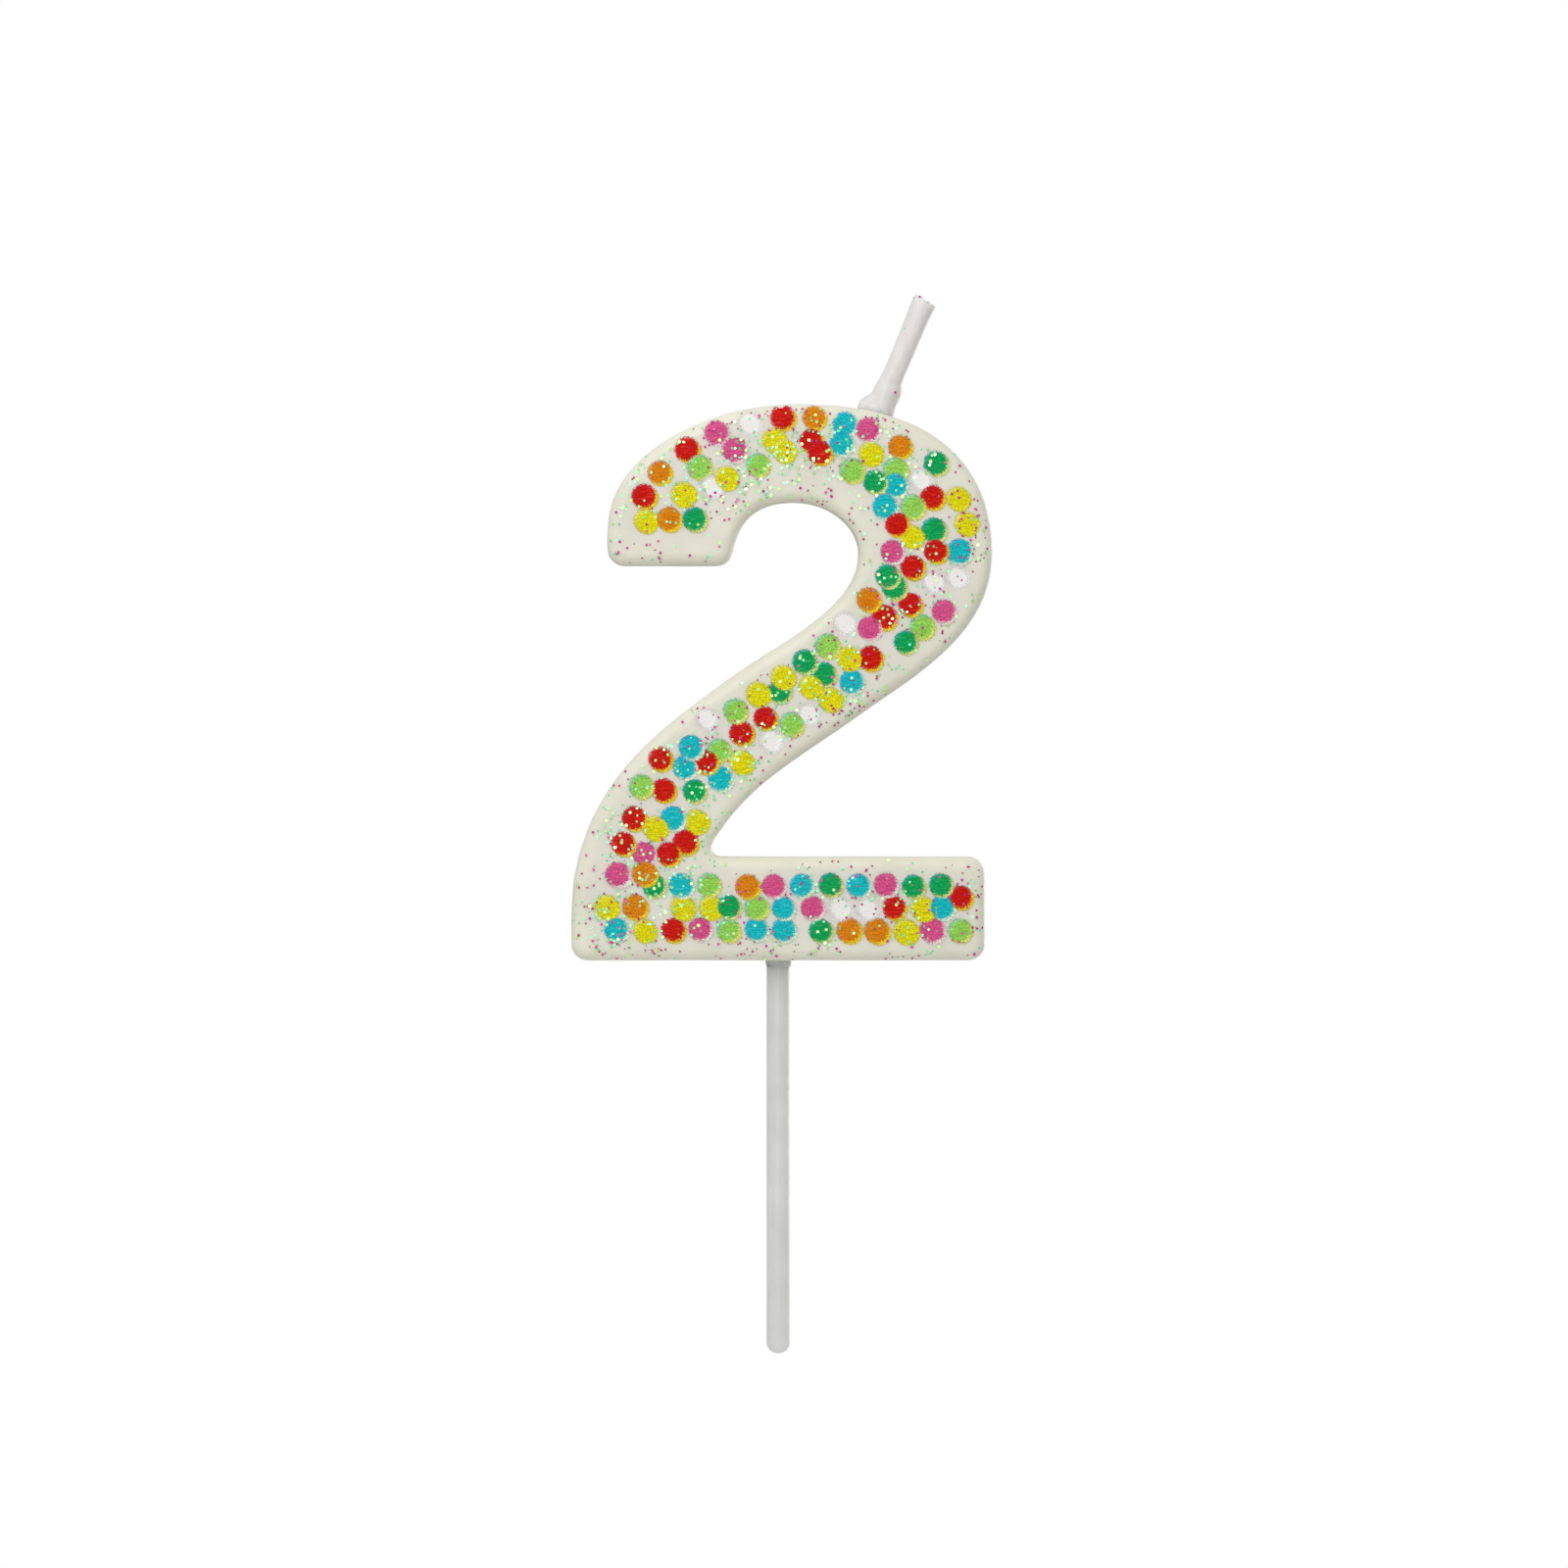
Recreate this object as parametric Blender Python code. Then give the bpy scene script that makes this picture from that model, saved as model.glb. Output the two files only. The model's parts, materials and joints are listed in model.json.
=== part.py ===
"""A number 2 birthday candle: a cast wax numeral on a plastic pick, with a waxed cotton wick.

Metres, +Z up. The numeral's printed face looks along -Y and reads from left to right along +X.
The origin is where the pick's axis crosses the numeral's flat underside, level with the cake's top.
"""

import math

import bmesh
import bpy
from mathutils import Vector

# The numeral, seen from the front.
NUMERAL_HEIGHT = 0.0600
BAR_LENGTH = 0.0446
BAR_HEIGHT = 0.01115
BOWL_WIDTH = 0.0415
BOWL_OVERHANG = 0.0008  # how far the bowl stands out past the end of the bar
BOWL_LEFT_DROP = 0.0134  # from the top down to where the bowl is widest on the left
BOWL_RIGHT_DROP = 0.0161
TOP_STROKE = 0.0105
SIDE_STROKE = 0.0144
DIAGONAL_STROKE = 0.0112
DIAGONAL_SLOPE = 35.0  # degrees
DIAGONAL_HEIGHT = 0.0272  # of its centre line, above the pick
LOWER_KNOT_SHIFT = 0.0067  # up the slope, of the point where the diagonal's lower edge is straight
UPPER_KNOT_SHIFT = -0.0011
HOOK_WIDTH = 0.0131
HOOK_DROP = 0.01735  # from the top down to the hook's cut end
HOOK_LEAN = 13.0  # degrees, of the hook's inner side
HEEL_HEIGHT = 0.0047  # to which the left end of the bar is straight
NOTCH_SETBACK = 0.0142  # of the notch from the left end of the bar
NOTCH_ANGLE = 58.0  # degrees, at which the diagonal runs down into the notch
NOTCH_RADIUS = 0.00105

# The numeral, from front to back.
NUMERAL_DEPTH = 0.0095
SHOULDER = 0.0013  # radius round the front and back edges
FACE_CORNER = 0.0005  # radius left at the corners of the flat faces

# Heat-transfer print on the front face.
PRINT_MARGIN = 0.00015
PRINT_THICKNESS = 0.00015

# The pick, and the bead of wax round the mouth of its socket.
PICK_DIAMETER = 0.0025
PICK_LENGTH = 0.0500
PICK_INSERTION = 0.0074
PICK_TOP_CHAMFER = 0.00025
PICK_BEAD_FOOT = 0.00045  # wall of the bead at the numeral's underside
PICK_BEAD_RIM = 0.0002
PICK_BEAD_HEIGHT = 0.0007

# The wick, which is free to bend where it comes out of its wax collar.
WICK_LEAN = 23.5  # degrees to the right of upright
WICK_DIAMETER = 0.0023  # over the wax coat
WICK_EXPOSED = 0.0107  # from the bend to the tip
WICK_OFFSET = 0.0093  # of the bend, right of the bowl's middle
TIP_FLARE = 0.00014
TIP_FLARE_LENGTH = 0.0009
COLLAR_HEIGHT = 0.0025  # of the bend above the numeral's edge
COLLAR_FOOT_WALL = 0.0009
COLLAR_RIM_WALL = 0.0005
COLLAR_RIM_DROP = 0.00045  # of the rim below the bend
COLLAR_SINK = 0.0013  # of the collar's foot below the numeral's edge
PLY_COUNT = 3
PLY_DIAMETER = 0.00044
PLY_SPACING = 0.00006  # between neighbouring plies
PLY_PITCH = 0.0050
PLY_PROUD = 0.0001  # of the cut plies past the end of the wax coat
CHANNEL_PULL = 0.38  # how gently the wick curves inside the wax, as a share of its reach

# Gaps between separate pieces.
PRINT_GAP = 0.0001
SOCKET_CLEARANCE = 0.00005
SOCKET_END_GAP = 0.0001
BEND_CLEARANCE = 0.0001
PLY_CLEARANCE = 0.0001

# Facets.
ROUND_SIDES = 24
BALL_STEPS = 6  # in a quarter circle
CURVE_STEPS = 12
CORNER_STEPS = 4  # in a quarter circle
SHOULDER_STEPS = 3
PLY_RINGS_PER_TURN = 10
SIX_SIDES = 1  # as a curve's bevel resolution
TWELVE_SIDES = 4
SHARP_ANGLE = 35.0  # degrees
MERGE_DISTANCE = 1e-7

BOWL_RIGHT = BAR_LENGTH / 2 + BOWL_OVERHANG
BOWL_LEFT = BOWL_RIGHT - BOWL_WIDTH
BOWL_MIDDLE = (BOWL_LEFT + BOWL_RIGHT) / 2
BOWL_RIGHT_LEVEL = NUMERAL_HEIGHT - BOWL_RIGHT_DROP
HALF_DEPTH = NUMERAL_DEPTH / 2
PICK_RADIUS = PICK_DIAMETER / 2
SOCKET_RADIUS = PICK_RADIUS + SOCKET_CLEARANCE
WICK_RADIUS = WICK_DIAMETER / 2
DIMPLE_RADIUS = WICK_RADIUS + BEND_CLEARANCE
PLY_RADIUS = PLY_DIAMETER / 2
PLY_ORBIT = (PLY_DIAMETER + PLY_SPACING) / (2 * math.sin(math.pi / PLY_COUNT))
WICK_BORE = PLY_ORBIT + PLY_RADIUS + PLY_CLEARANCE
COAT_FOOT = -math.sqrt(WICK_RADIUS**2 - WICK_BORE**2)  # where the coat's round end meets its bore

# Base colour and roughness of each finish.
FINISHES = {
    "candle_wax": ((0.86, 0.84, 0.78), 0.45),
    "transfer_print": ((0.90, 0.62, 0.60), 0.35),
    "clear_plastic": ((0.74, 0.74, 0.73), 0.35),
    "wick_wax": ((0.85, 0.84, 0.83), 0.50),
    "cotton": ((0.90, 0.88, 0.82), 0.95),
}


# ---- Outline of the numeral ----


def heading(degrees):
    """The unit vector in the XZ plane at this angle above +X."""
    return Vector((math.cos(math.radians(degrees)), math.sin(math.radians(degrees))))


def right_of(vector):
    return Vector((vector.y, -vector.x))


class Knot:
    """A point that the outline passes through at a heading, or a corner where it turns.

    A corner's arc starts at `entry` and ends at `leave`. A smooth knot has both at its point.
    """

    def __init__(self, x, z, heading_in, heading_out=None, radius=0.0):
        self.heading_in = heading_in
        self.turn = 0.0 if heading_out is None else (heading_out - heading_in + 180) % 360 - 180
        self.radius = radius
        self.along_in = heading(heading_in)
        self.along_out = heading(heading_in + self.turn)
        setback = radius * math.tan(math.radians(abs(self.turn)) / 2)
        self.entry = Vector((x, z)) - self.along_in * setback
        self.leave = Vector((x, z)) + self.along_out * setback

    def points(self):
        if not self.turn:
            return [self.entry]
        side = math.copysign(1.0, self.turn)
        centre = self.entry - right_of(self.along_in) * side * self.radius
        steps = max(2, round(CORNER_STEPS * abs(self.turn) / 90))
        angles = [self.heading_in - 90 * side + self.turn * i / steps for i in range(steps + 1)]
        return [centre + heading(angle) * self.radius for angle in angles]


def cubic(p0, p1, p2, p3, t):
    s = 1 - t
    return p0 * s**3 + p1 * 3 * s * s * t + p2 * 3 * s * t * t + p3 * t**3


def curve_between(start, end, start_pull, end_pull):
    """The inner points of the curve from one knot to the next; a pull is a share of their distance."""
    reach = (end.entry - start.leave).length
    p1 = start.leave + start.along_out * start_pull * reach
    p2 = end.entry - end.along_in * end_pull * reach
    return [cubic(start.leave, p1, p2, end.entry, i / CURVE_STEPS) for i in range(1, CURVE_STEPS)]


def numeral_outline():
    """The outline's (x, z) points, clockwise as seen from the front."""
    up, right, down, left = 90, 0, -90, 180
    corner = SHOULDER + FACE_CORNER
    bar = BAR_LENGTH / 2
    hook_end = NUMERAL_HEIGHT - HOOK_DROP
    counter_middle = (BOWL_LEFT + HOOK_WIDTH + BOWL_RIGHT - SIDE_STROKE) / 2
    along = heading(DIAGONAL_SLOPE)
    middle = Vector((0.0, DIAGONAL_HEIGHT))
    across = right_of(along) * DIAGONAL_STROKE / 2
    lower = middle + across + along * LOWER_KNOT_SHIFT
    upper = middle - across + along * UPPER_KNOT_SHIFT
    # Each row is a knot and the pulls of the curve that leads on from it, or None for a straight edge.
    rows = [
        (Knot(BOWL_LEFT, hook_end, left, up, corner), None),
        (Knot(BOWL_LEFT, NUMERAL_HEIGHT - BOWL_LEFT_DROP, up), (0.29, 0.46)),
        (Knot(BOWL_MIDDLE, NUMERAL_HEIGHT, right), (0.52, 0.39)),
        (Knot(BOWL_RIGHT, BOWL_RIGHT_LEVEL, down), (0.37, 0.35)),
        (Knot(*lower, DIAGONAL_SLOPE + 180), (0.50, 0.34)),
        (Knot(NOTCH_SETBACK - bar, BAR_HEIGHT, NOTCH_ANGLE + 180, right, NOTCH_RADIUS), None),
        (Knot(bar, BAR_HEIGHT, right, down, corner), None),
        (Knot(bar, 0.0, down, left, corner), None),
        (Knot(-bar, 0.0, left, up, corner), None),
        (Knot(-bar, HEEL_HEIGHT, up), (0.43, 0.33)),
        (Knot(*upper, DIAGONAL_SLOPE), (0.35, 0.31)),
        (Knot(BOWL_RIGHT - SIDE_STROKE, BOWL_RIGHT_LEVEL, up), (0.33, 0.43)),
        (Knot(counter_middle, NUMERAL_HEIGHT - TOP_STROKE, left), (0.54, 0.36)),
        (Knot(BOWL_LEFT + HOOK_WIDTH, hook_end, down - HOOK_LEAN, left, corner), None),
    ]
    found = []
    for i, (knot, pulls) in enumerate(rows):
        found.extend(knot.points())
        if pulls:
            found.extend(curve_between(knot, rows[(i + 1) % len(rows)][0], *pulls))
    return found


def inset_outline(outline, inset):
    """The outline moved in by this much, with as many points."""
    found = []
    for i, point in enumerate(outline):
        side_in = right_of((point - outline[i - 1]).normalized())
        side_out = right_of((outline[(i + 1) % len(outline)] - point).normalized())
        inward = (side_in + side_out).normalized()
        found.append(point + inward * inset / inward.dot(side_in))
    return found


def edge_height(outline, x):
    """The height of the numeral's top edge at x."""
    heights = []
    for i, end in enumerate(outline):
        start = outline[i - 1]
        if min(start.x, end.x) <= x <= max(start.x, end.x) and start.x != end.x:
            heights.append(start.y + (end.y - start.y) * (x - start.x) / (end.x - start.x))
    return max(heights)


# ---- Making objects ----


def material(finish):
    colour, roughness = FINISHES[finish]
    made = bpy.data.materials.new(finish)
    made.use_nodes = True
    shader = made.node_tree.nodes["Principled BSDF"]
    shader.inputs["Base Color"].default_value = (*colour, 1.0)
    shader.inputs["Roughness"].default_value = roughness
    shader.inputs["Metallic"].default_value = 0.0
    return made


def empty(name, location, parent=None):
    made = bpy.data.objects.new(name, None)
    made.location = location
    made.parent = parent
    made.empty_display_size = 0.005
    bpy.context.scene.collection.objects.link(made)
    return made


def add_object(name, mesh, parent, finish=None):
    """A piece of the candle, or a hidden helper shape where it has no finish."""
    made = bpy.data.objects.new(name, mesh)
    made.parent = parent
    bpy.context.scene.collection.objects.link(made)
    if finish is None:
        made.hide_render = True
        made.display_type = "WIRE"
        return made
    mesh.materials.append(bpy.data.materials.get(finish) or material(finish))
    mesh.shade_smooth()
    mesh.set_sharp_from_angle(angle=math.radians(SHARP_ANGLE))
    return made


def mesh_from(bm, name):
    bmesh.ops.recalc_face_normals(bm, faces=bm.faces)
    mesh = bpy.data.meshes.new(name)
    bm.to_mesh(mesh)
    bm.free()
    return mesh


def slab(name, outline, front, back, shoulder=0.0):
    """A plate of this outline between two values of y, with rounded front and back edges."""
    bm = bmesh.new()
    face = bm.faces.new([bm.verts.new((point.x, front, point.y)) for point in outline])
    grown = bmesh.ops.extrude_face_region(bm, geom=[face])["geom"]
    moved = [item for item in grown if isinstance(item, bmesh.types.BMVert)]
    bmesh.ops.translate(bm, verts=moved, vec=(0, back - front, 0))
    bmesh.ops.recalc_face_normals(bm, faces=bm.faces)
    if shoulder:
        rims = [edge for edge in bm.edges if edge.verts[0].co.y == edge.verts[1].co.y]
        bmesh.ops.bevel(
            bm, geom=rims, offset=shoulder, segments=SHOULDER_STEPS, profile=0.5, affect="EDGES"
        )
    return mesh_from(bm, name)


def turned(name, profile, closed=False, sides=ROUND_SIDES):
    """A shape turned round Z from (radius, z) points, which end on the axis unless closed."""
    bm = bmesh.new()
    verts = [bm.verts.new((radius, 0, z)) for radius, z in profile]
    edges = [bm.edges.new(pair) for pair in zip(verts, verts[1:])]
    if closed:
        edges.append(bm.edges.new((verts[-1], verts[0])))
    bmesh.ops.spin(
        bm, geom=verts + edges, cent=(0, 0, 0), axis=(0, 0, 1), angle=math.tau, steps=sides, use_merge=True
    )
    bmesh.ops.remove_doubles(bm, verts=bm.verts, dist=MERGE_DISTANCE)
    return mesh_from(bm, name)


def tube(name, points, radius, resolution):
    """A round bar along a line of points, with flat ends."""
    curve = bpy.data.curves.new(name, "CURVE")
    curve.dimensions = "3D"
    curve.bevel_depth = radius
    curve.bevel_resolution = resolution
    curve.use_fill_caps = True
    spline = curve.splines.new("POLY")
    spline.points.add(len(points) - 1)
    for spline_point, point in zip(spline.points, points):
        spline_point.co = (*point, 1.0)
    holder = bpy.data.objects.new(name, curve)
    bm = bmesh.new()
    bm.from_mesh(bpy.data.meshes.new_from_object(holder))
    bpy.data.objects.remove(holder)
    bpy.data.curves.remove(curve)
    bmesh.ops.remove_doubles(bm, verts=bm.verts, dist=MERGE_DISTANCE)
    return mesh_from(bm, name)


def add_boolean(target, helper, operation):
    modifier = target.modifiers.new(f"{operation.lower()} {helper.name}", "BOOLEAN")
    modifier.object = helper
    modifier.operation = operation
    modifier.solver = "EXACT"


# ---- The candle's pieces ----


def quarter(radius, centre, start, end):
    """(radius, z) points on a ball's outline, between two angles above the horizontal."""
    angles = [math.radians(start + (end - start) * i / BALL_STEPS) for i in range(BALL_STEPS + 1)]
    return [(radius * math.cos(angle), centre + radius * math.sin(angle)) for angle in angles]


def channel_path(bend):
    """The line of the wick inside the wax, from the bend to the middle of the bowl's side."""
    start = Vector((bend.x, bend.z))
    end = Vector((BOWL_RIGHT - SIDE_STROKE / 2, BOWL_RIGHT_LEVEL))
    reach = (end - start).length
    leave = start + heading(-90 - WICK_LEAN) * reach * CHANNEL_PULL
    arrive = end - heading(-90) * reach * CHANNEL_PULL
    steps = 4 * CURVE_STEPS
    return [cubic(start, leave, arrive, end, i / steps) for i in range(steps + 1)]


def point_along(path, distance):
    """The (x, z) point this far along a path, and the path's direction there."""
    for start, end in zip(path, path[1:]):
        length = (end - start).length
        if distance <= length or end is path[-1]:
            break
        distance -= length
    along = (end - start).normalized()
    return start + along * distance, along


def ply_points(path, first, last, index):
    """The centre line of one ply, laid round the path from one distance along it to another."""
    rings = math.ceil((last - first) / PLY_PITCH * PLY_RINGS_PER_TURN)
    found = []
    for i in range(rings + 1):
        distance = first + (last - first) * i / rings
        centre, along = point_along(path, distance)
        turn = math.tau * (distance / PLY_PITCH + index / PLY_COUNT)
        flat = centre + right_of(along) * PLY_ORBIT * math.cos(turn)
        found.append((flat.x, PLY_ORBIT * math.sin(turn), flat.y))
    return found


def add_plies(prefix, path, first, last, parent):
    for index in range(PLY_COUNT):
        name = f"{prefix}_{index + 1}"
        points = ply_points(path, first, last, index)
        add_object(name, tube(name, points, PLY_RADIUS, SIX_SIDES), parent, "cotton")


def add_numeral(outline, bend, parent):
    """The wax casting: the numeral, its two beads, and the holes for the pick and the wick."""
    wax = slab("wax_numeral", outline, -HALF_DEPTH, HALF_DEPTH, SHOULDER)
    numeral = add_object("wax_numeral", wax, parent, "candle_wax")

    foot_radius = SOCKET_RADIUS + PICK_BEAD_FOOT
    rim_radius = SOCKET_RADIUS + PICK_BEAD_RIM
    bead = [(0, SHOULDER), (foot_radius, SHOULDER), (foot_radius, 0)]
    bead += [(rim_radius, -PICK_BEAD_HEIGHT), (0, -PICK_BEAD_HEIGHT)]
    add_boolean(numeral, add_object("pick_bead", turned("pick_bead", bead), parent), "UNION")

    foot_radius = DIMPLE_RADIUS + COLLAR_FOOT_WALL
    rim_radius = DIMPLE_RADIUS + COLLAR_RIM_WALL
    collar = [(0, -COLLAR_RIM_DROP), (rim_radius, -COLLAR_RIM_DROP), (foot_radius, -COLLAR_HEIGHT)]
    collar += [(foot_radius, -COLLAR_HEIGHT - COLLAR_SINK), (0, -COLLAR_HEIGHT - COLLAR_SINK)]
    add_boolean(numeral, add_object("wick_collar", turned("wick_collar", collar), bend), "UNION")

    socket = [(0, PICK_INSERTION + SOCKET_END_GAP), (SOCKET_RADIUS, PICK_INSERTION + SOCKET_END_GAP)]
    socket += [(SOCKET_RADIUS, -2 * PICK_BEAD_HEIGHT), (0, -2 * PICK_BEAD_HEIGHT)]
    add_boolean(numeral, add_object("pick_socket", turned("pick_socket", socket), parent), "DIFFERENCE")

    ball = quarter(DIMPLE_RADIUS, 0, 90, 0) + quarter(DIMPLE_RADIUS, 0, 0, -90)[1:]
    add_boolean(numeral, add_object("wick_dimple", turned("wick_dimple", ball), bend), "DIFFERENCE")

    path = [(point.x, 0, point.y) for point in channel_path(bend.location)]
    channel = tube("wick_channel", path, WICK_BORE, TWELVE_SIDES)
    add_boolean(numeral, add_object("wick_channel", channel, parent), "DIFFERENCE")


def add_print(outline, parent):
    """The layer of ink that the heat-transfer sheet leaves on the front face."""
    front = -HALF_DEPTH - PRINT_GAP - PRINT_THICKNESS
    shape = inset_outline(outline, SHOULDER + PRINT_MARGIN)
    layer = slab("dot_print", shape, front, -HALF_DEPTH - PRINT_GAP)
    add_object("dot_print", layer, parent, "transfer_print")


def add_pick(parent):
    chamfer_start = PICK_INSERTION - PICK_TOP_CHAMFER
    profile = [(0, PICK_INSERTION), (PICK_RADIUS - PICK_TOP_CHAMFER, PICK_INSERTION)]
    profile += [(PICK_RADIUS, chamfer_start)]
    profile += quarter(PICK_RADIUS, PICK_INSERTION - PICK_LENGTH + PICK_RADIUS, 0, -90)
    add_object("pick", turned("pick", profile), parent, "clear_plastic")


def add_wick_end(bend):
    """The exposed wick: its plies inside a coat of wax whose round foot turns in the dimple."""
    flare_start = WICK_EXPOSED - TIP_FLARE_LENGTH
    foot_angle = math.degrees(math.asin(COAT_FOOT / WICK_RADIUS))
    profile = [(WICK_BORE, WICK_EXPOSED), (WICK_RADIUS + TIP_FLARE, WICK_EXPOSED), (WICK_RADIUS, flare_start)]
    profile += quarter(WICK_RADIUS, 0, 0, foot_angle)
    add_object("wick_coat", turned("wick_coat", profile, closed=True), bend, "wick_wax")
    first = COAT_FOOT + PLY_CLEARANCE
    path = [Vector((0, first)), Vector((0, WICK_EXPOSED + PLY_PROUD))]
    add_plies("wick_ply_upper", path, 0, path[1].y - first, bend)


def main():
    for old in list(bpy.data.objects):
        bpy.data.objects.remove(old)
    outline = numeral_outline()
    pick_axis = empty("pick_axis", (0, 0, 0))
    numeral_slide = empty("numeral_slide", (0, 0, 0), pick_axis)
    bend_x = BOWL_MIDDLE + WICK_OFFSET
    bend = empty("wick_bend", (bend_x, 0, edge_height(outline, bend_x) + COLLAR_HEIGHT), numeral_slide)
    bend.rotation_euler = (0, math.radians(WICK_LEAN), 0)
    add_pick(pick_axis)
    add_numeral(outline, bend, numeral_slide)
    add_print(outline, numeral_slide)
    path = channel_path(bend.location)
    length = sum((end - start).length for start, end in zip(path, path[1:]))
    add_plies("wick_ply_lower", path, DIMPLE_RADIUS + PLY_CLEARANCE, length - PLY_CLEARANCE, numeral_slide)
    add_wick_end(bend)


main()
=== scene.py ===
"""The finished look of a number 2 birthday candle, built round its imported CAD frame.

It is laid out as an add-on: settings, an operator for each group of pieces, a panel, register and unregister.
Lengths are metres, +Z up. The printed face looks along -Y and reads from left to right along +X.
"""

import json
import math

import bmesh
import bpy
import numpy as np
from bpy.props import FloatProperty, FloatVectorProperty, IntProperty, PointerProperty
from bpy.types import Operator, Panel, PropertyGroup
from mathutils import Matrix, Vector, geometry, noise


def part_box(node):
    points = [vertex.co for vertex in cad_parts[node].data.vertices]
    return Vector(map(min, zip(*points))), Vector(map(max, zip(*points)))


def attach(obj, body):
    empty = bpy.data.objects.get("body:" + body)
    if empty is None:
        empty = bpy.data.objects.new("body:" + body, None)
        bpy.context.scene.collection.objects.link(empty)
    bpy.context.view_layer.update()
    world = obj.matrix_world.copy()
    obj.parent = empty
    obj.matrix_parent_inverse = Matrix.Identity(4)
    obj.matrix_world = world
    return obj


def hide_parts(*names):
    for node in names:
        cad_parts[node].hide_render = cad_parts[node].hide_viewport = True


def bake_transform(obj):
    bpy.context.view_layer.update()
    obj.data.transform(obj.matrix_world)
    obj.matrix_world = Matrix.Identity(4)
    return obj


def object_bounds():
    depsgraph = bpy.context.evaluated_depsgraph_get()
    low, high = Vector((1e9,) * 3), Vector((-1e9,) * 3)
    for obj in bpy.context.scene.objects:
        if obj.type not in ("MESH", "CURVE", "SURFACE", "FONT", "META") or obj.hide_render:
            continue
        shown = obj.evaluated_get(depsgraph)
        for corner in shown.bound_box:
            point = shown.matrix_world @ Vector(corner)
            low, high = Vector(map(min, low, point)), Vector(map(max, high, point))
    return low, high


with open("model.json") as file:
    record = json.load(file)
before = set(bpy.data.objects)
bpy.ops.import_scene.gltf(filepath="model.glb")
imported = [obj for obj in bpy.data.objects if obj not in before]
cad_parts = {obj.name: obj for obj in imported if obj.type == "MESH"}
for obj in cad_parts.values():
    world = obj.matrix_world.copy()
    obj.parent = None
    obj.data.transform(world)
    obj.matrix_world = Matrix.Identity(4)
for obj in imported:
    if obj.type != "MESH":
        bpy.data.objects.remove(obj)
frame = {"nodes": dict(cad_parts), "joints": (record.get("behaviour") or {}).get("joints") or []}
cad_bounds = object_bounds()

bl_info = {
    "name": "Number Birthday Candle",
    "version": (1, 0, 0),
    "blender": (4, 5, 0),
    "location": "View3D > Sidebar > Candle",
    "description": "Builds the wax, print, glitter, wick and pick of a number 2 birthday candle",
    "category": "Object",
}

MM = 0.001
MERGE_DISTANCE = 1e-6
UP = Vector((0, 0, 1))
TO_VIEWER = Vector((0, -1, 0))


# ---- Places read from the frame ----


def node_points(*names):
    """The different corners of some CAD nodes, as rows of x, y and z."""
    found = [
        [tuple(round(c, 7) for c in vertex.co) for vertex in frame["nodes"][n].data.vertices] for n in names
    ]
    return np.array(sorted(set(sum(found, []))))


def joint(name):
    return next(found for found in frame["joints"] if found["name"] == name)


def wick_tip():
    """The middle of the wick's cut end."""
    coat = node_points("wick_coat")
    reach = np.linalg.norm(coat - np.array(BEND), axis=1)
    return Vector(coat[reach > reach.max() - 0.1 * MM].mean(axis=0))


def wick_root():
    """The middle of the plies' lower end, deep in the wax."""
    plies = node_points(*[f"wick_ply_lower_{i + 1}" for i in range(PLY_COUNT)])
    return Vector(plies[plies[:, 2] < plies[:, 2].min() + 0.2 * MM].mean(axis=0))


PLY_COUNT = 3
BEND = Vector(joint("wick_bend")["pos_m"])
WICK_REACH = (wick_tip() - BEND).length
WICK_AXIS = (wick_tip() - BEND).normalized()
WICK_RIGHT = TO_VIEWER.cross(WICK_AXIS).normalized() * -1
WICK_ROOT = wick_root()
WAX_LOW, WAX_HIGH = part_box("wax_numeral")
PICK_LOW, PICK_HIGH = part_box("pick")
PICK_RADIUS = (PICK_HIGH.x - PICK_LOW.x) / 2


# ---- The print: which ink lies where ----

# The line along the middle of the stroke, in mm from where the pick's axis meets the underside.
STROKE = [
    (-11.8, 42.6), (-11.9, 46.5), (-9.6, 50.6), (-4.2, 53.9), (2.3, 54.8), (9.0, 53.6), (13.9, 49.8),
    (15.9, 44.4), (14.7, 38.9), (10.6, 34.6), (5.0, 30.6), (-1.0, 26.4), (-7.0, 21.9), (-11.6, 17.0),
    (-14.6, 11.0),
]
# One letter is one dot: red, orange, yellow, lime, green, blue, pink or white. A column is 1 mm along
# the stroke from the hook's end, and a row 1.2 mm across it, from the left of the way it runs to the right.
STROKE_CHART = [
    "..................................g..y.y................................................",
    "......r.o..r..p..w..r..o..b.p..o.........b.w..p..................................y..r...",
    "....y.............................w.r...........l.g......b..y..w.l..w...y..b..........r.",
    "...........l...p...y...r..b..y..l......g.r..w.........r.......................g...b.....",
    ".....o..y...........y...r........b..l..........r........y..g.y.....r..r..l.r........y..p",
    "...........w.y...l..........l..g.......y...r......r.p...........g............b..r.......",
    "......g...........................b..r........g..........l..g..y..y..l.....b........r..r",
    ".........................................p...g....o...w.................w.....r..l......",
]
STROKE_FIRST_LANE = -4
# The bar's dots, from its lowest row up. A column is 1 mm from the bar's left end.
BAR_CHART = [
    ".....b..y..r..p..l..b..b...g..o..o..y..p..l",
    "...........................................",
    "....y..o....y..y.g..l..b..p..w..w..r..y.b..",
    "..........................................r",
    ".........g..b..l...o..p..b..g..b..p..g..g..",
    ".....p..o..................................",
]
BAR_FIRST_ROW = 3.2
BAR_LEFT = WAX_LOW.x
CHART_COLUMN = 1.0
CHART_ROW = 1.2
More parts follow.
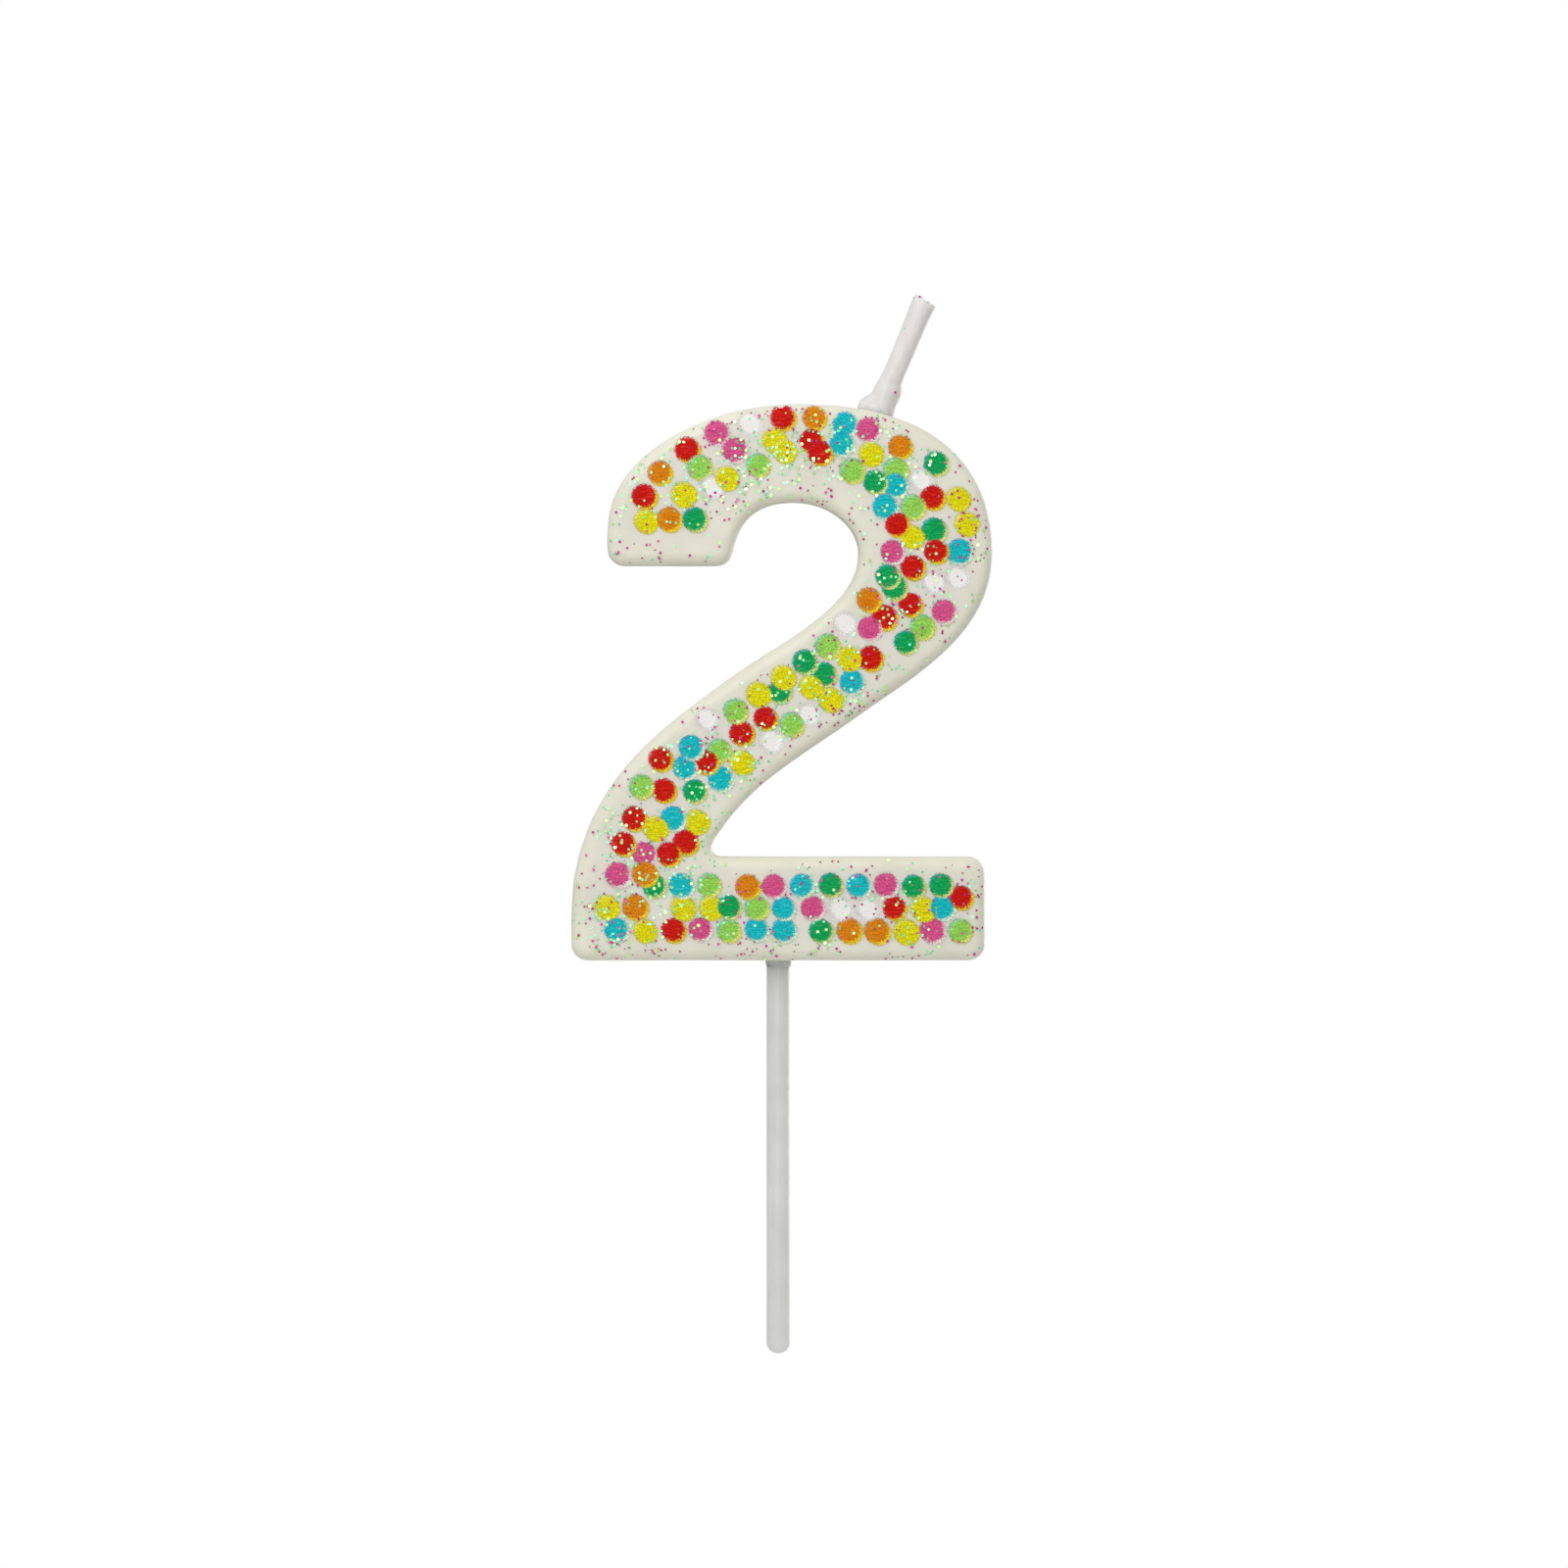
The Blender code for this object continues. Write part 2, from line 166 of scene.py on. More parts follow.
# Each ink's finish name, its yellow plate and its second plate, as the colour that plate prints alone,
# the width of its soft edge in mm, and how much its screen darkens it in places.
INKS = {
    "r": ("red", "#F6DC28", "#D81634", 0.2, 0.34),
    "o": ("orange", "#FAE028", "#E49630", 0.2, 0.34),
    "y": ("yellow", "#F2EA0C", "#F0F068", 0.24, 0.34),
    "l": ("lime", "#F0F07C", "#9EE4B4", 0.26, 0.34),
    "g": ("green", "#E8EC90", "#00B49C", 0.2, 0.34),
    "b": ("blue", "#EEF8DC", "#0CC4E6", 0.2, 0.34),
    "p": ("pink", "#FAECE6", "#E05A9A", 0.2, 0.34),
    "w": ("white", "#FFFFFF", "#EFECE8", 0.5, 0.06),
}


def linear(code):
    """A linear RGBA colour from an sRGB hex code."""
    channels = [int(code[i : i + 2], 16) / 255 for i in (1, 3, 5)]
    return tuple(c / 12.92 if c <= 0.04045 else ((c + 0.055) / 1.055) ** 2.4 for c in channels) + (1.0,)


# ---- Settings ----


def length(name, description, default):
    return FloatProperty(name=name, description=description, default=default, unit="LENGTH", precision=5)


def colour(name, description, code):
    return FloatVectorProperty(
        name=name, description=description, default=linear(code), subtype="COLOR", size=4, min=0, max=1
    )


class CastingSettings(PropertyGroup):
    grid: length("Grid", "Distance between the casting's surface points", 0.45 * MM)
    unevenness: length("Unevenness", "How far the cast surface wanders in and out", 0.045 * MM)
    wander: length("Wander", "Width of the soft hollows and swells of the surface", 6.0 * MM)
    seam: length("Mould seam", "Height of the line that the mould's halves leave round the side", 0.05 * MM)
    bead_wall: length("Bead wall", "Thickness of the wax bead round the pick, at the underside", 0.16 * MM)
    bead_drop: length("Bead drop", "How far the bead runs down the pick", 0.8 * MM)
    sink: length("Sink", "How far the poured back sank in as its wax cooled", 0.28 * MM)
    sink_run: length("Sink run", "Width of the slope round the sunken back", 4.0 * MM)
    clearance: length("Socket clearance", "Room round the pick in its socket", 0.04 * MM)
    # The face's tint fades in from its rim across the margin and the fade below. It is pinker inside, for the
    # transfer's clear film, and keeps the creamer wax colour at the rim; this creamer rim band is painted
    # shade, the cream tint of the shaded shoulders.
    film_and_rim_shade_margin: length("Film margin", "Bare border of the face, which the transfer leaves free", 0.4 * MM)
    film_and_rim_shade_fade: length("Film fade", "Width over which the transfer's clear film fades in", 3.4 * MM)
    film: colour("Film", "Wax seen through the clear film of the transfer", "#E2DDD2")
    wax: colour("Wax", "Bare cast paraffin", "#E2E1D0")


class PrintSettings(PropertyGroup):
    diameter: length("Dot diameter", "Diameter of a printed dot", 2.66 * MM)
    misprint: length("Misprint", "How far the yellow plate lies to the lower right of the other", 0.28 * MM)
    spread: length("Spread", "How much further the yellow plate's edge spreads than the other's", 0.07 * MM)
    ink: length("Ink", "Thickness of the ink over the wax", 0.025 * MM)
    scatter: length("Scatter", "How far a dot may lie off its place in the chart", 0.12 * MM)


class GlitterSettings(PropertyGroup):
    mint: length("Mint flake", "Width of a bright flake across its corners", 0.3 * MM)
    magenta: length("Magenta flake", "Width of a dark flake across its corners", 0.26 * MM)
    lift: length("Lift", "Height of a flake's middle over the wax", 0.078 * MM)
    thickness: length("Thickness", "Thickness of a flake", 0.03 * MM)
    mint_density: FloatProperty(
        name="Mint density", description="Bright flakes on a square mm", default=0.95, min=0
    )
    magenta_density: FloatProperty(
        name="Magenta density", description="Dark flakes on a square mm", default=0.55, min=0
    )
    cluster: length("Cluster", "Width of the patches in which flakes gather", 7.0 * MM)
    tilt: FloatProperty(name="Tilt", description="Most that a flake tips up", default=0.3, subtype="ANGLE")
    seed: IntProperty(name="Seed", description="Changes where the flakes fall", default=7)


class WickSettings(PropertyGroup):
    ring: length("Ring step", "Distance between the sheath's rings", 0.16 * MM)
    sink: length("Sink", "How far the sheath's foot goes down below the bend", 4.4 * MM)
    lumps: length("Lumps", "Height of the drips and lumps in the dipped wax", 0.04 * MM)
    ply: length("Ply", "Diameter of one cotton ply", 0.44 * MM)
    gap: length("Gap", "Room between neighbouring plies", 0.06 * MM)
    pitch: length("Pitch", "Length in which a ply goes once round", 5.0 * MM)
    stub: length("Stub", "How far the cut plies stand out of the sheath", 0.16 * MM)
    slant: length("Slant", "How much further the wick's left side runs than its right", 0.4 * MM)
    slant_run: length("Slant run", "Length below the tip over which the slant begins", 2.5 * MM)
    bend_below: length("Bend below", "Length of sheath below the joint that takes part in the bend", 1.0 * MM)
    bend_above: length("Bend above", "Length of sheath above the joint that takes part in the bend", 2.6 * MM)
    wax: colour("Wax", "Thin dipped wax over cotton", "#DAD8D6")
    cotton: colour("Cotton", "Bleached cotton yarn", "#F0EDE4")


class PickSettings(PropertyGroup):
    seam: length("Mould seam", "Height of the two mould lines along the pick", 0.03 * MM)
    chamfer: length("Chamfer", "Bevel round the pick's top end, inside the wax", 0.25 * MM)
    plastic: colour("Plastic", "Natural polypropylene, seen edge on", "#C9C9C7")


class StageSettings(PropertyGroup):
    lens: FloatProperty(name="Lens", description="Focal length in mm", default=250.0)
    sensor: FloatProperty(name="Sensor", description="Sensor width in mm", default=36.0)
    view: length("View", "Width of the picture where the candle stands", 169.3 * MM)
    rise: length("Rise", "How far the camera aims above the middle of the candle", 4.5 * MM)
    aside: length("Aside", "How far the camera aims to the right of the middle of the candle", 0.23 * MM)
    floor_drop: length("Floor drop", "How far the floor lies below the pick's tip", 120.0 * MM)
    floor_width: length("Floor width", "Width of the floor", 500.0 * MM)
    above: FloatProperty(
        name="Above", description="Light from above, as a share of the surroundings' white", default=0.72
    )
    below: FloatProperty(
        name="Below", description="Light from below, as a share of the surroundings' white", default=0.22
    )
    key: FloatProperty(name="Key light", description="Power of the soft light, in watts", default=0.22)
    fill: FloatProperty(name="Fill light", description="Power of the light in front, in watts", default=0.28)
    back: FloatProperty(name="Back light", description="Power of the light behind, in watts", default=0.4)
    key_width: length("Key width", "Width of the soft light", 120.0 * MM)
    fill_width: length("Fill width", "Width of the lights in front and behind", 200.0 * MM)


# ---- Building helpers ----


def add_node(tree, kind, inputs=(), **settings):
    """Adds a node. Inputs are values or other nodes' sockets, listed in order or by socket name or number."""
    node = tree.nodes.new(kind)
    for name, value in settings.items():
        setattr(node, name, value)
    for key, value in inputs.items() if isinstance(inputs, dict) else enumerate(inputs):
        if isinstance(value, bpy.types.Node):
            value = next(socket for socket in value.outputs if socket.enabled)
        if isinstance(value, bpy.types.NodeSocket):
            tree.links.new(value, node.inputs[key])
        else:
            node.inputs[key].default_value = value
    return node


def new_material(name):
    """A material with its tree and an unlinked principled shader."""
    made = bpy.data.materials.new(name)
    made.use_nodes = True
    return made, made.node_tree, made.node_tree.nodes["Principled BSDF"]


def set_shader(tree, shader, **values):
    """Sets or links the shader's sockets; an underscore stands for the space in a socket's name."""
    for name, value in values.items():
        socket = shader.inputs[name.replace("_", " ")]
        if isinstance(value, bpy.types.Node):
            value = next(found for found in value.outputs if found.enabled)
        if isinstance(value, bpy.types.NodeSocket):
            tree.links.new(value, socket)
        else:
            socket.default_value = value


def add_piece(name, mesh, material=None):
    """Links a mesh to the scene as a piece of the candle."""
    made = bpy.data.objects.new(name, mesh)
    bpy.context.scene.collection.objects.link(made)
    if material:
        mesh.materials.append(material)
    return made


def mesh_from(bm, name, sharp=40.0):
    """Ends a bmesh as a smooth mesh with its faces pointing out and its hard edges sharp."""
    bmesh.ops.remove_doubles(bm, verts=bm.verts, dist=MERGE_DISTANCE)
    bmesh.ops.recalc_face_normals(bm, faces=bm.faces)
    mesh = bpy.data.meshes.new(name)
    bm.to_mesh(mesh)
    bm.free()
    mesh.shade_smooth()
    mesh.set_sharp_from_angle(angle=math.radians(sharp))
    return mesh


def bridge(bm, rings):
    """Joins rings of as many vertices, one after the other."""
    for lower, upper in zip(rings, rings[1:]):
        for i in range(len(lower)):
            bm.faces.new((lower[i - 1], lower[i], upper[i], upper[i - 1]))


def node_group(name, **sockets):
    """A geometry tree with a geometry output, and an input for each named socket type and default."""
    tree = bpy.data.node_groups.new(name, "GeometryNodeTree")
    tree.interface.new_socket("Geometry", in_out="OUTPUT", socket_type="NodeSocketGeometry")
    tree.interface.new_socket("Geometry", in_out="INPUT", socket_type="NodeSocketGeometry")
    for label, kind in sockets.items():
        tree.interface.new_socket(label.replace("_", " "), in_out="INPUT", socket_type=f"NodeSocket{kind}")
    return tree, tree.nodes.new("NodeGroupInput")


def end_tree(tree, made, material):
    """Realizes what the tree made, gives it its material and puts it out."""
    real = add_node(tree, "GeometryNodeRealizeInstances", [made])
    finished = add_node(tree, "GeometryNodeSetMaterial", {0: real, "Material": material})
    add_node(tree, "NodeGroupOutput", [finished])


def grown(name, source, tree, values, sharp=40.0):
    """The plain mesh piece that a tree makes from a source object, which is then removed."""
    modifier = source.modifiers.new(name, "NODES")
    modifier.node_group = tree
    for item in tree.interface.items_tree:
        if item.in_out == "INPUT" and item.name in values:
            modifier[item.identifier] = values[item.name]
    bpy.context.view_layer.update()
    depsgraph = bpy.context.evaluated_depsgraph_get()
    evaluated = source.evaluated_get(depsgraph)
    mesh = bpy.data.meshes.new_from_object(evaluated, preserve_all_data_layers=True, depsgraph=depsgraph)
    if not mesh.polygons:
        raise RuntimeError(f"{name}: its node tree made no faces")
    source.modifiers.remove(modifier)
    bpy.data.objects.remove(source)
    mesh.name = name
    mesh.shade_smooth()
    mesh.set_sharp_from_angle(angle=math.radians(sharp))
    return add_piece(name, mesh)


# ---- Materials ----


def cast_paraffin(settings):
    """Cast paraffin wax: milky, satin, and faintly mottled where it cooled unevenly.

    Light sinks in a little and softens the shoulders. The face is tinted pinker inward from its rim, for the
    transfer's clear film, and creamer at its rim and on the sides and back; the creamer rim band is painted
    shade, the cream tint that the shaded shoulders take.
    """
    material, tree, shader = new_material("Cast paraffin wax")
    place = add_node(tree, "ShaderNodeTexCoord")
    film = add_node(tree, "ShaderNodeAttribute", attribute_name="film")
    cloud = add_node(
        tree, "ShaderNodeTexNoise",
        {"Vector": place.outputs["Object"], "Scale": 1 / (5 * MM), "Detail": 3.0},
    )
    grain = add_node(
        tree, "ShaderNodeTexNoise",
        {"Vector": place.outputs["Object"], "Scale": 1 / (0.5 * MM), "Detail": 4.0},
    )
    tone = add_node(tree, "ShaderNodeMapRange", [cloud, 0.3, 0.7, 0.955, 1.03])
    # Painted shade: the film share mixes the creamer wax colour at the face's rim into the pinker film colour
    # inside, so the rim band paints the cream tint of the shaded shoulders.
    base = add_node(
        tree, "ShaderNodeMix", {0: film.outputs["Fac"], 6: settings.wax, 7: settings.film},
        data_type="RGBA",
    )
    shade = add_node(
        tree, "ShaderNodeMix", {0: 1.0, 6: base, 7: tone}, data_type="RGBA", blend_type="MULTIPLY"
    )
    gloss = add_node(tree, "ShaderNodeMapRange", [grain, 0.3, 0.7, 0.36, 0.48])
    relief = add_node(tree, "ShaderNodeBump", {"Strength": 0.35, "Distance": 0.03 * MM, "Height": grain})
    set_shader(
        tree, shader, Base_Color=shade, Roughness=gloss, Normal=relief, IOR=1.44, Subsurface_Weight=0.8,
        Subsurface_Radius=(1.0, 0.86, 0.7), Subsurface_Scale=0.9 * MM,
    )
    return material


def transfer_ink(name, yellow, second, soft, screen_depth, settings):
    """Heat-transfer ink, screened in two plates that don't quite register.

    The yellow plate shows as a fringe to the lower right. The screen breaks up at a dot's edge and
    leaves specks, and the print head leaves fine pale lines across it.
    """
    material, tree, shader = new_material(f"Transfer ink {name}")
    radius = settings.diameter / 2 / MM
    shift = settings.misprint / MM / 2 * math.sqrt(0.5)
    place = add_node(tree, "ShaderNodeUVMap", uv_map="Ink")
    where = add_node(tree, "ShaderNodeAttribute", attribute_name="ink_seed")
    turned = add_node(tree, "ShaderNodeVectorMath", [place, where.outputs["Fac"]], operation="ADD")
    screen = add_node(
        tree, "ShaderNodeTexNoise", {"Vector": turned, "Scale": 1 / 0.17, "Detail": 2.0},
        noise_dimensions="2D",
    )
    speck = add_node(
        tree, "ShaderNodeTexNoise", {"Vector": turned, "Scale": 1 / 0.18, "Detail": 2.0, "Roughness": 0.65},
        noise_dimensions="2D",
    )
    stretched = add_node(tree, "ShaderNodeVectorMath", [turned, (0.8, 7.5, 1.0)], operation="MULTIPLY")
    line = add_node(
        tree, "ShaderNodeTexNoise", {"Vector": stretched, "Scale": 1.0, "Detail": 2.0},
        noise_dimensions="2D",
    )
    breakup = add_node(tree, "ShaderNodeMath", [screen, 0.8, -0.4], operation="MULTIPLY_ADD")
    plates = []
    for side in (1, -1):
        middle = add_node(
            tree, "ShaderNodeVectorMath", [place, (-side * shift, side * shift, 0)], operation="ADD"
        )
        away = add_node(tree, "ShaderNodeVectorMath", [middle], operation="LENGTH")
        edge = add_node(tree, "ShaderNodeMath", [away.outputs["Value"], breakup], operation="ADD")
        end = radius + (settings.spread / MM if side == 1 else 0.03)
        plates.append(add_node(tree, "ShaderNodeMapRange", [edge, end - 1.2 * soft, end, 1.0, 0.0]))
    over = add_node(tree, "ShaderNodeMath", [plates[0], plates[1]], operation="MAXIMUM")
    shares = [add_node(tree, "ShaderNodeMath", [plate, over], operation="DIVIDE") for plate in plates]
    first = add_node(
        tree, "ShaderNodeMix", {0: shares[0], 6: (1, 1, 1, 1), 7: linear(yellow)}, data_type="RGBA"
    )
    other = add_node(
        tree, "ShaderNodeMix", {0: shares[1], 6: (1, 1, 1, 1), 7: linear(second)}, data_type="RGBA"
    )
    both = add_node(
        tree, "ShaderNodeMix", {0: 1.0, 6: first, 7: other}, data_type="RGBA", blend_type="MULTIPLY"
    )
    fleck = add_node(
        tree, "ShaderNodeMapRange", [speck, 0.36, 0.62, 1.0 - screen_depth, 1.0 + 0.35 * screen_depth]
    )
    row = add_node(
        tree, "ShaderNodeMapRange", [line, 0.36, 0.62, 1.0 - 0.5 * screen_depth, 1.0 + 0.25 * screen_depth]
    )
    patch = add_node(tree, "ShaderNodeMath", [fleck, row], operation="MULTIPLY")
    flecked = add_node(
        tree, "ShaderNodeMix", {0: 1.0, 6: both, 7: patch}, data_type="RGBA", blend_type="MULTIPLY"
    )
    pale = add_node(tree, "ShaderNodeMapRange", [line, 0.64, 0.78, 0.0, 0.12])
    streaked = add_node(tree, "ShaderNodeMix", {0: pale, 6: flecked, 7: linear("#F6D8C0")}, data_type="RGBA")
    set_shader(
        tree, shader, Base_Color=streaked, Alpha=over, Roughness=0.42, IOR=1.5, Specular_IOR_Level=0.06
    )
    return material


def glitter_film(name, codes, mirror):
    """Iridescent polyester glitter: thin cut film that mirrors the lights, each flake in its own tone."""
    material, tree, shader = new_material(f"Glitter film {name}")
    tone = add_node(tree, "ShaderNodeAttribute", attribute_name="tone")
    ramp = add_node(tree, "ShaderNodeValToRGB", [tone.outputs["Fac"]])
    steps = ramp.color_ramp.elements
    steps[0].color = linear(codes[0])
    steps[1].color = linear(codes[-1])
    for i, code in enumerate(codes[1:-1]):
        steps.new((i + 1) / (len(codes) - 1)).color = linear(code)
    gloss = add_node(tree, "ShaderNodeMapRange", [tone.outputs["Fac"], 0.0, 1.0, 0.16, 0.34])
    set_shader(tree, shader, Base_Color=ramp, Roughness=gloss, Metallic=mirror, IOR=1.6)
    return material


def dipped_wax(settings):
    """Thin dipped wax on cotton: greyer and clearer than the casting, with long runs down its length."""
    material, tree, shader = new_material("Dipped wick wax")
    place = add_node(tree, "ShaderNodeTexCoord")
    lean = -math.atan2(WICK_AXIS.x, WICK_AXIS.z)
    along = add_node(
        tree, "ShaderNodeMapping",
        {"Vector": place.outputs["Object"], "Rotation": (0, lean, 0), "Scale": (1, 1, 0.16)},
    )
    runs = add_node(tree, "ShaderNodeTexNoise", {"Vector": along, "Scale": 1 / (0.9 * MM), "Detail": 3.0})
    fine = add_node(
        tree, "ShaderNodeTexNoise",
        {"Vector": place.outputs["Object"], "Scale": 1 / (0.35 * MM), "Detail": 3.0},
    )
    tone = add_node(tree, "ShaderNodeMapRange", [runs, 0.35, 0.65, 0.96, 1.03])
    shade = add_node(
        tree, "ShaderNodeMix", {0: 1.0, 6: settings.wax, 7: tone}, data_type="RGBA", blend_type="MULTIPLY"
    )
    gloss = add_node(tree, "ShaderNodeMapRange", [fine, 0.3, 0.7, 0.34, 0.5])
    relief = add_node(tree, "ShaderNodeBump", {"Strength": 0.3, "Distance": 0.04 * MM, "Height": runs})
    set_shader(
        tree, shader, Base_Color=shade, Roughness=gloss, Normal=relief, IOR=1.44, Subsurface_Weight=0.9,
        Subsurface_Radius=(1.0, 0.95, 0.9), Subsurface_Scale=2.2 * MM,
    )
    return material


def cotton_yarn(settings):
    """Bleached cotton yarn: dull and soft, with the twist of its fibres showing as fine slanting lines."""
    material, tree, shader = new_material("Bleached cotton yarn")
    place = add_node(tree, "ShaderNodeTexCoord")
    fibre = add_node(
        tree, "ShaderNodeTexNoise",
        {"Vector": place.outputs["Object"], "Scale": 1 / (0.12 * MM), "Detail": 4.0},
    )
    tone = add_node(tree, "ShaderNodeMapRange", [fibre, 0.35, 0.65, 0.86, 1.04])
    shade = add_node(
        tree, "ShaderNodeMix", {0: 1.0, 6: settings.cotton, 7: tone}, data_type="RGBA",
        blend_type="MULTIPLY",
    )
    relief = add_node(tree, "ShaderNodeBump", {"Strength": 0.6, "Distance": 0.03 * MM, "Height": fibre})
    set_shader(tree, shader, Base_Color=shade, Normal=relief, Roughness=0.92, Sheen_Weight=0.25)
    return material


def natural_polypropylene(settings):
    """Natural moulded polypropylene: a cloudy, grey-white plastic that lets a little light through.

    It is satin from the mould, with faint flow lines along its length.
    """
    material, tree, shader = new_material("Natural polypropylene")
    place = add_node(tree, "ShaderNodeTexCoord")
    along = add_node(tree, "ShaderNodeMapping", {"Vector": place.outputs["Object"], "Scale": (1, 1, 0.05)})
    flow = add_node(tree, "ShaderNodeTexNoise", {"Vector": along, "Scale": 1 / (0.5 * MM), "Detail": 2.0})
    haze = add_node(
        tree, "ShaderNodeTexNoise",
        {"Vector": place.outputs["Object"], "Scale": 1 / (3 * MM), "Detail": 2.0},
    )
    tone = add_node(tree, "ShaderNodeMapRange", [haze, 0.3, 0.7, 0.95, 1.03])
    shade = add_node(
        tree, "ShaderNodeMix", {0: 1.0, 6: settings.plastic, 7: tone}, data_type="RGBA",
        blend_type="MULTIPLY",
    )
    gloss = add_node(tree, "ShaderNodeMapRange", [flow, 0.3, 0.7, 0.26, 0.42])
    relief = add_node(tree, "ShaderNodeBump", {"Strength": 0.4, "Distance": 0.02 * MM, "Height": flow})
    set_shader(
        tree, shader, Base_Color=shade, Roughness=gloss, Normal=relief, IOR=1.49,
        Subsurface_Weight=1.0, Subsurface_Radius=(1.0, 1.0, 1.0), Subsurface_Scale=5.0 * MM,
    )
    return material


# ---- The casting ----


def left_of(vector):
    return Vector((-vector.y, vector.x))


def numeral_rim():
    """The line where the shoulder meets the flat side, as (x, z) points anticlockwise from the front."""
    bm = bmesh.new()
    bm.from_mesh(frame["nodes"]["wax_numeral"].data)
    bmesh.ops.remove_doubles(bm, verts=bm.verts, dist=MERGE_DISTANCE)
    level = min(vertex.co.y for vertex in bm.verts if vertex.co.x > WAX_HIGH.x - MERGE_DISTANCE)
    joined = {}
    for edge in bm.edges:
        if all(abs(vertex.co.y - level) < MERGE_DISTANCE for vertex in edge.verts):
            for vertex in edge.verts:
                joined.setdefault(vertex, []).append(edge.other_vert(vertex))
    walk = [min(joined, key=lambda vertex: (vertex.co.z, vertex.co.x))]
    before = None
    while len(walk) == 1 or walk[-1] is not walk[0]:
        one, two = joined[walk[-1]]
        before, step = walk[-1], two if one is before else one
        walk.append(step)
    line = [Vector((vertex.co.x, vertex.co.z)) for vertex in walk[:-1]]
    bm.free()
    area = sum(start.x * end.y - end.x * start.y for start, end in zip(line, line[1:] + line[:1]))
    return (line if area > 0 else line[::-1]), level - WAX_LOW.y


def smoothed(line, spacing, straight=2.8 * MM):
    """A closed line drawn smoothly through the points, and straight where two lie far apart."""
    sides = [end - start for start, end in zip(line, line[1:] + line[:1])]
    ways = []
    for before, after in zip(sides[-1:] + sides[:-1], sides):
        if after.length > straight:
            ways.append(after.normalized())
        elif before.length > straight:
            ways.append(before.normalized())
        else:
            ways.append(
                (before.normalized() * after.length + after.normalized() * before.length).normalized()
            )
    found = []
    for i, side in enumerate(sides):
        start, end = line[i], line[(i + 1) % len(line)]
        leave, arrive = ways[i] * side.length, ways[(i + 1) % len(line)] * side.length
        steps = max(1, round(side.length / spacing))
        for t in (k / steps for k in range(steps)):
            found.append(
                start * (2 * t**3 - 3 * t**2 + 1) + leave * (t**3 - 2 * t**2 + t)
                + end * (3 * t**2 - 2 * t**3) + arrive * (t**3 - t**2)
            )
    return found


def inside(points, line):
    """Which of the points lie within a closed line, with a margin of at least most of a step."""
    line = np.array(line)
    start, end = line, np.roll(line, -1, axis=0)
    x, z = points[:, :1], points[:, 1:]
    above = (start[:, 1] > z) != (end[:, 1] > z)
    rise = np.where(end[:, 1] == start[:, 1], 1.0, end[:, 1] - start[:, 1])
    crosses = above & (x < (end[:, 0] - start[:, 0]) * (z - start[:, 1]) / rise + start[:, 0])
    step = np.linalg.norm(end - start, axis=1).mean()
    near = np.hypot(x - start[:, 0], z - start[:, 1]).min(axis=1) < 0.8 * step
    return (crosses.sum(axis=1) % 2 == 1) & ~near


def fill_face(bm, ring, spacing):
    """Closes a flat ring with an even net of triangles."""
    level = ring[0].co.y
    line = [Vector((vertex.co.x, vertex.co.z)) for vertex in ring]
    row = spacing * math.sqrt(0.75)
    xs = np.arange(WAX_LOW.x, WAX_HIGH.x, spacing)
    zs = np.arange(WAX_LOW.z, WAX_HIGH.z, row)
    net = np.array([(x + spacing / 2 * (i % 2), z) for i, z in enumerate(zs) for x in xs])
    net = [Vector(point) for point in net[inside(net, line)]]
    loop = [(i, (i + 1) % len(line)) for i in range(len(line))]
    points, _, faces, origins, _, _ = geometry.delaunay_2d_cdt(line + net, loop, [], 1, MERGE_DISTANCE / 10)
    verts = [
        ring[origin[0]] if origin and origin[0] < len(ring) else bm.verts.new((point.x, level, point.y))
        for point, origin in zip(points, origins)
    ]
    for face in faces:
        bm.faces.new([verts[i] for i in face])


def casting_section(shoulder, seam):
    """The casting's edge from the front face to the back one, as (inset, y) pairs."""
    bend = [
        (shoulder * (1 - math.cos(a)), shoulder * (1 - math.sin(a))) for a in np.linspace(math.pi / 2, 0, 9)
    ]
    depth = WAX_HIGH.y - WAX_LOW.y
    sides = np.linspace(shoulder, depth / 2 - 0.35 * MM, 6)[1:]
    front = [(inset, y) for inset, y in bend] + [(0.0, y) for y in sides]
    front.append((-0.3 * seam, depth / 2 - 0.12 * MM))
    back = [(inset, depth - y) for inset, y in reversed(front)]
    return [(inset, WAX_LOW.y + y) for inset, y in front + [(-seam, depth / 2)] + back]


def wandered(point, settings):
    """A point of the cast surface, moved a little by the unevenness of the casting."""
    swell = noise.noise_vector(point / settings.wander)
    ripple = noise.noise_vector(point / (settings.wander * 0.28) + Vector((11, 3, 7)))
    return point + (swell + ripple * 0.3) * settings.unevenness


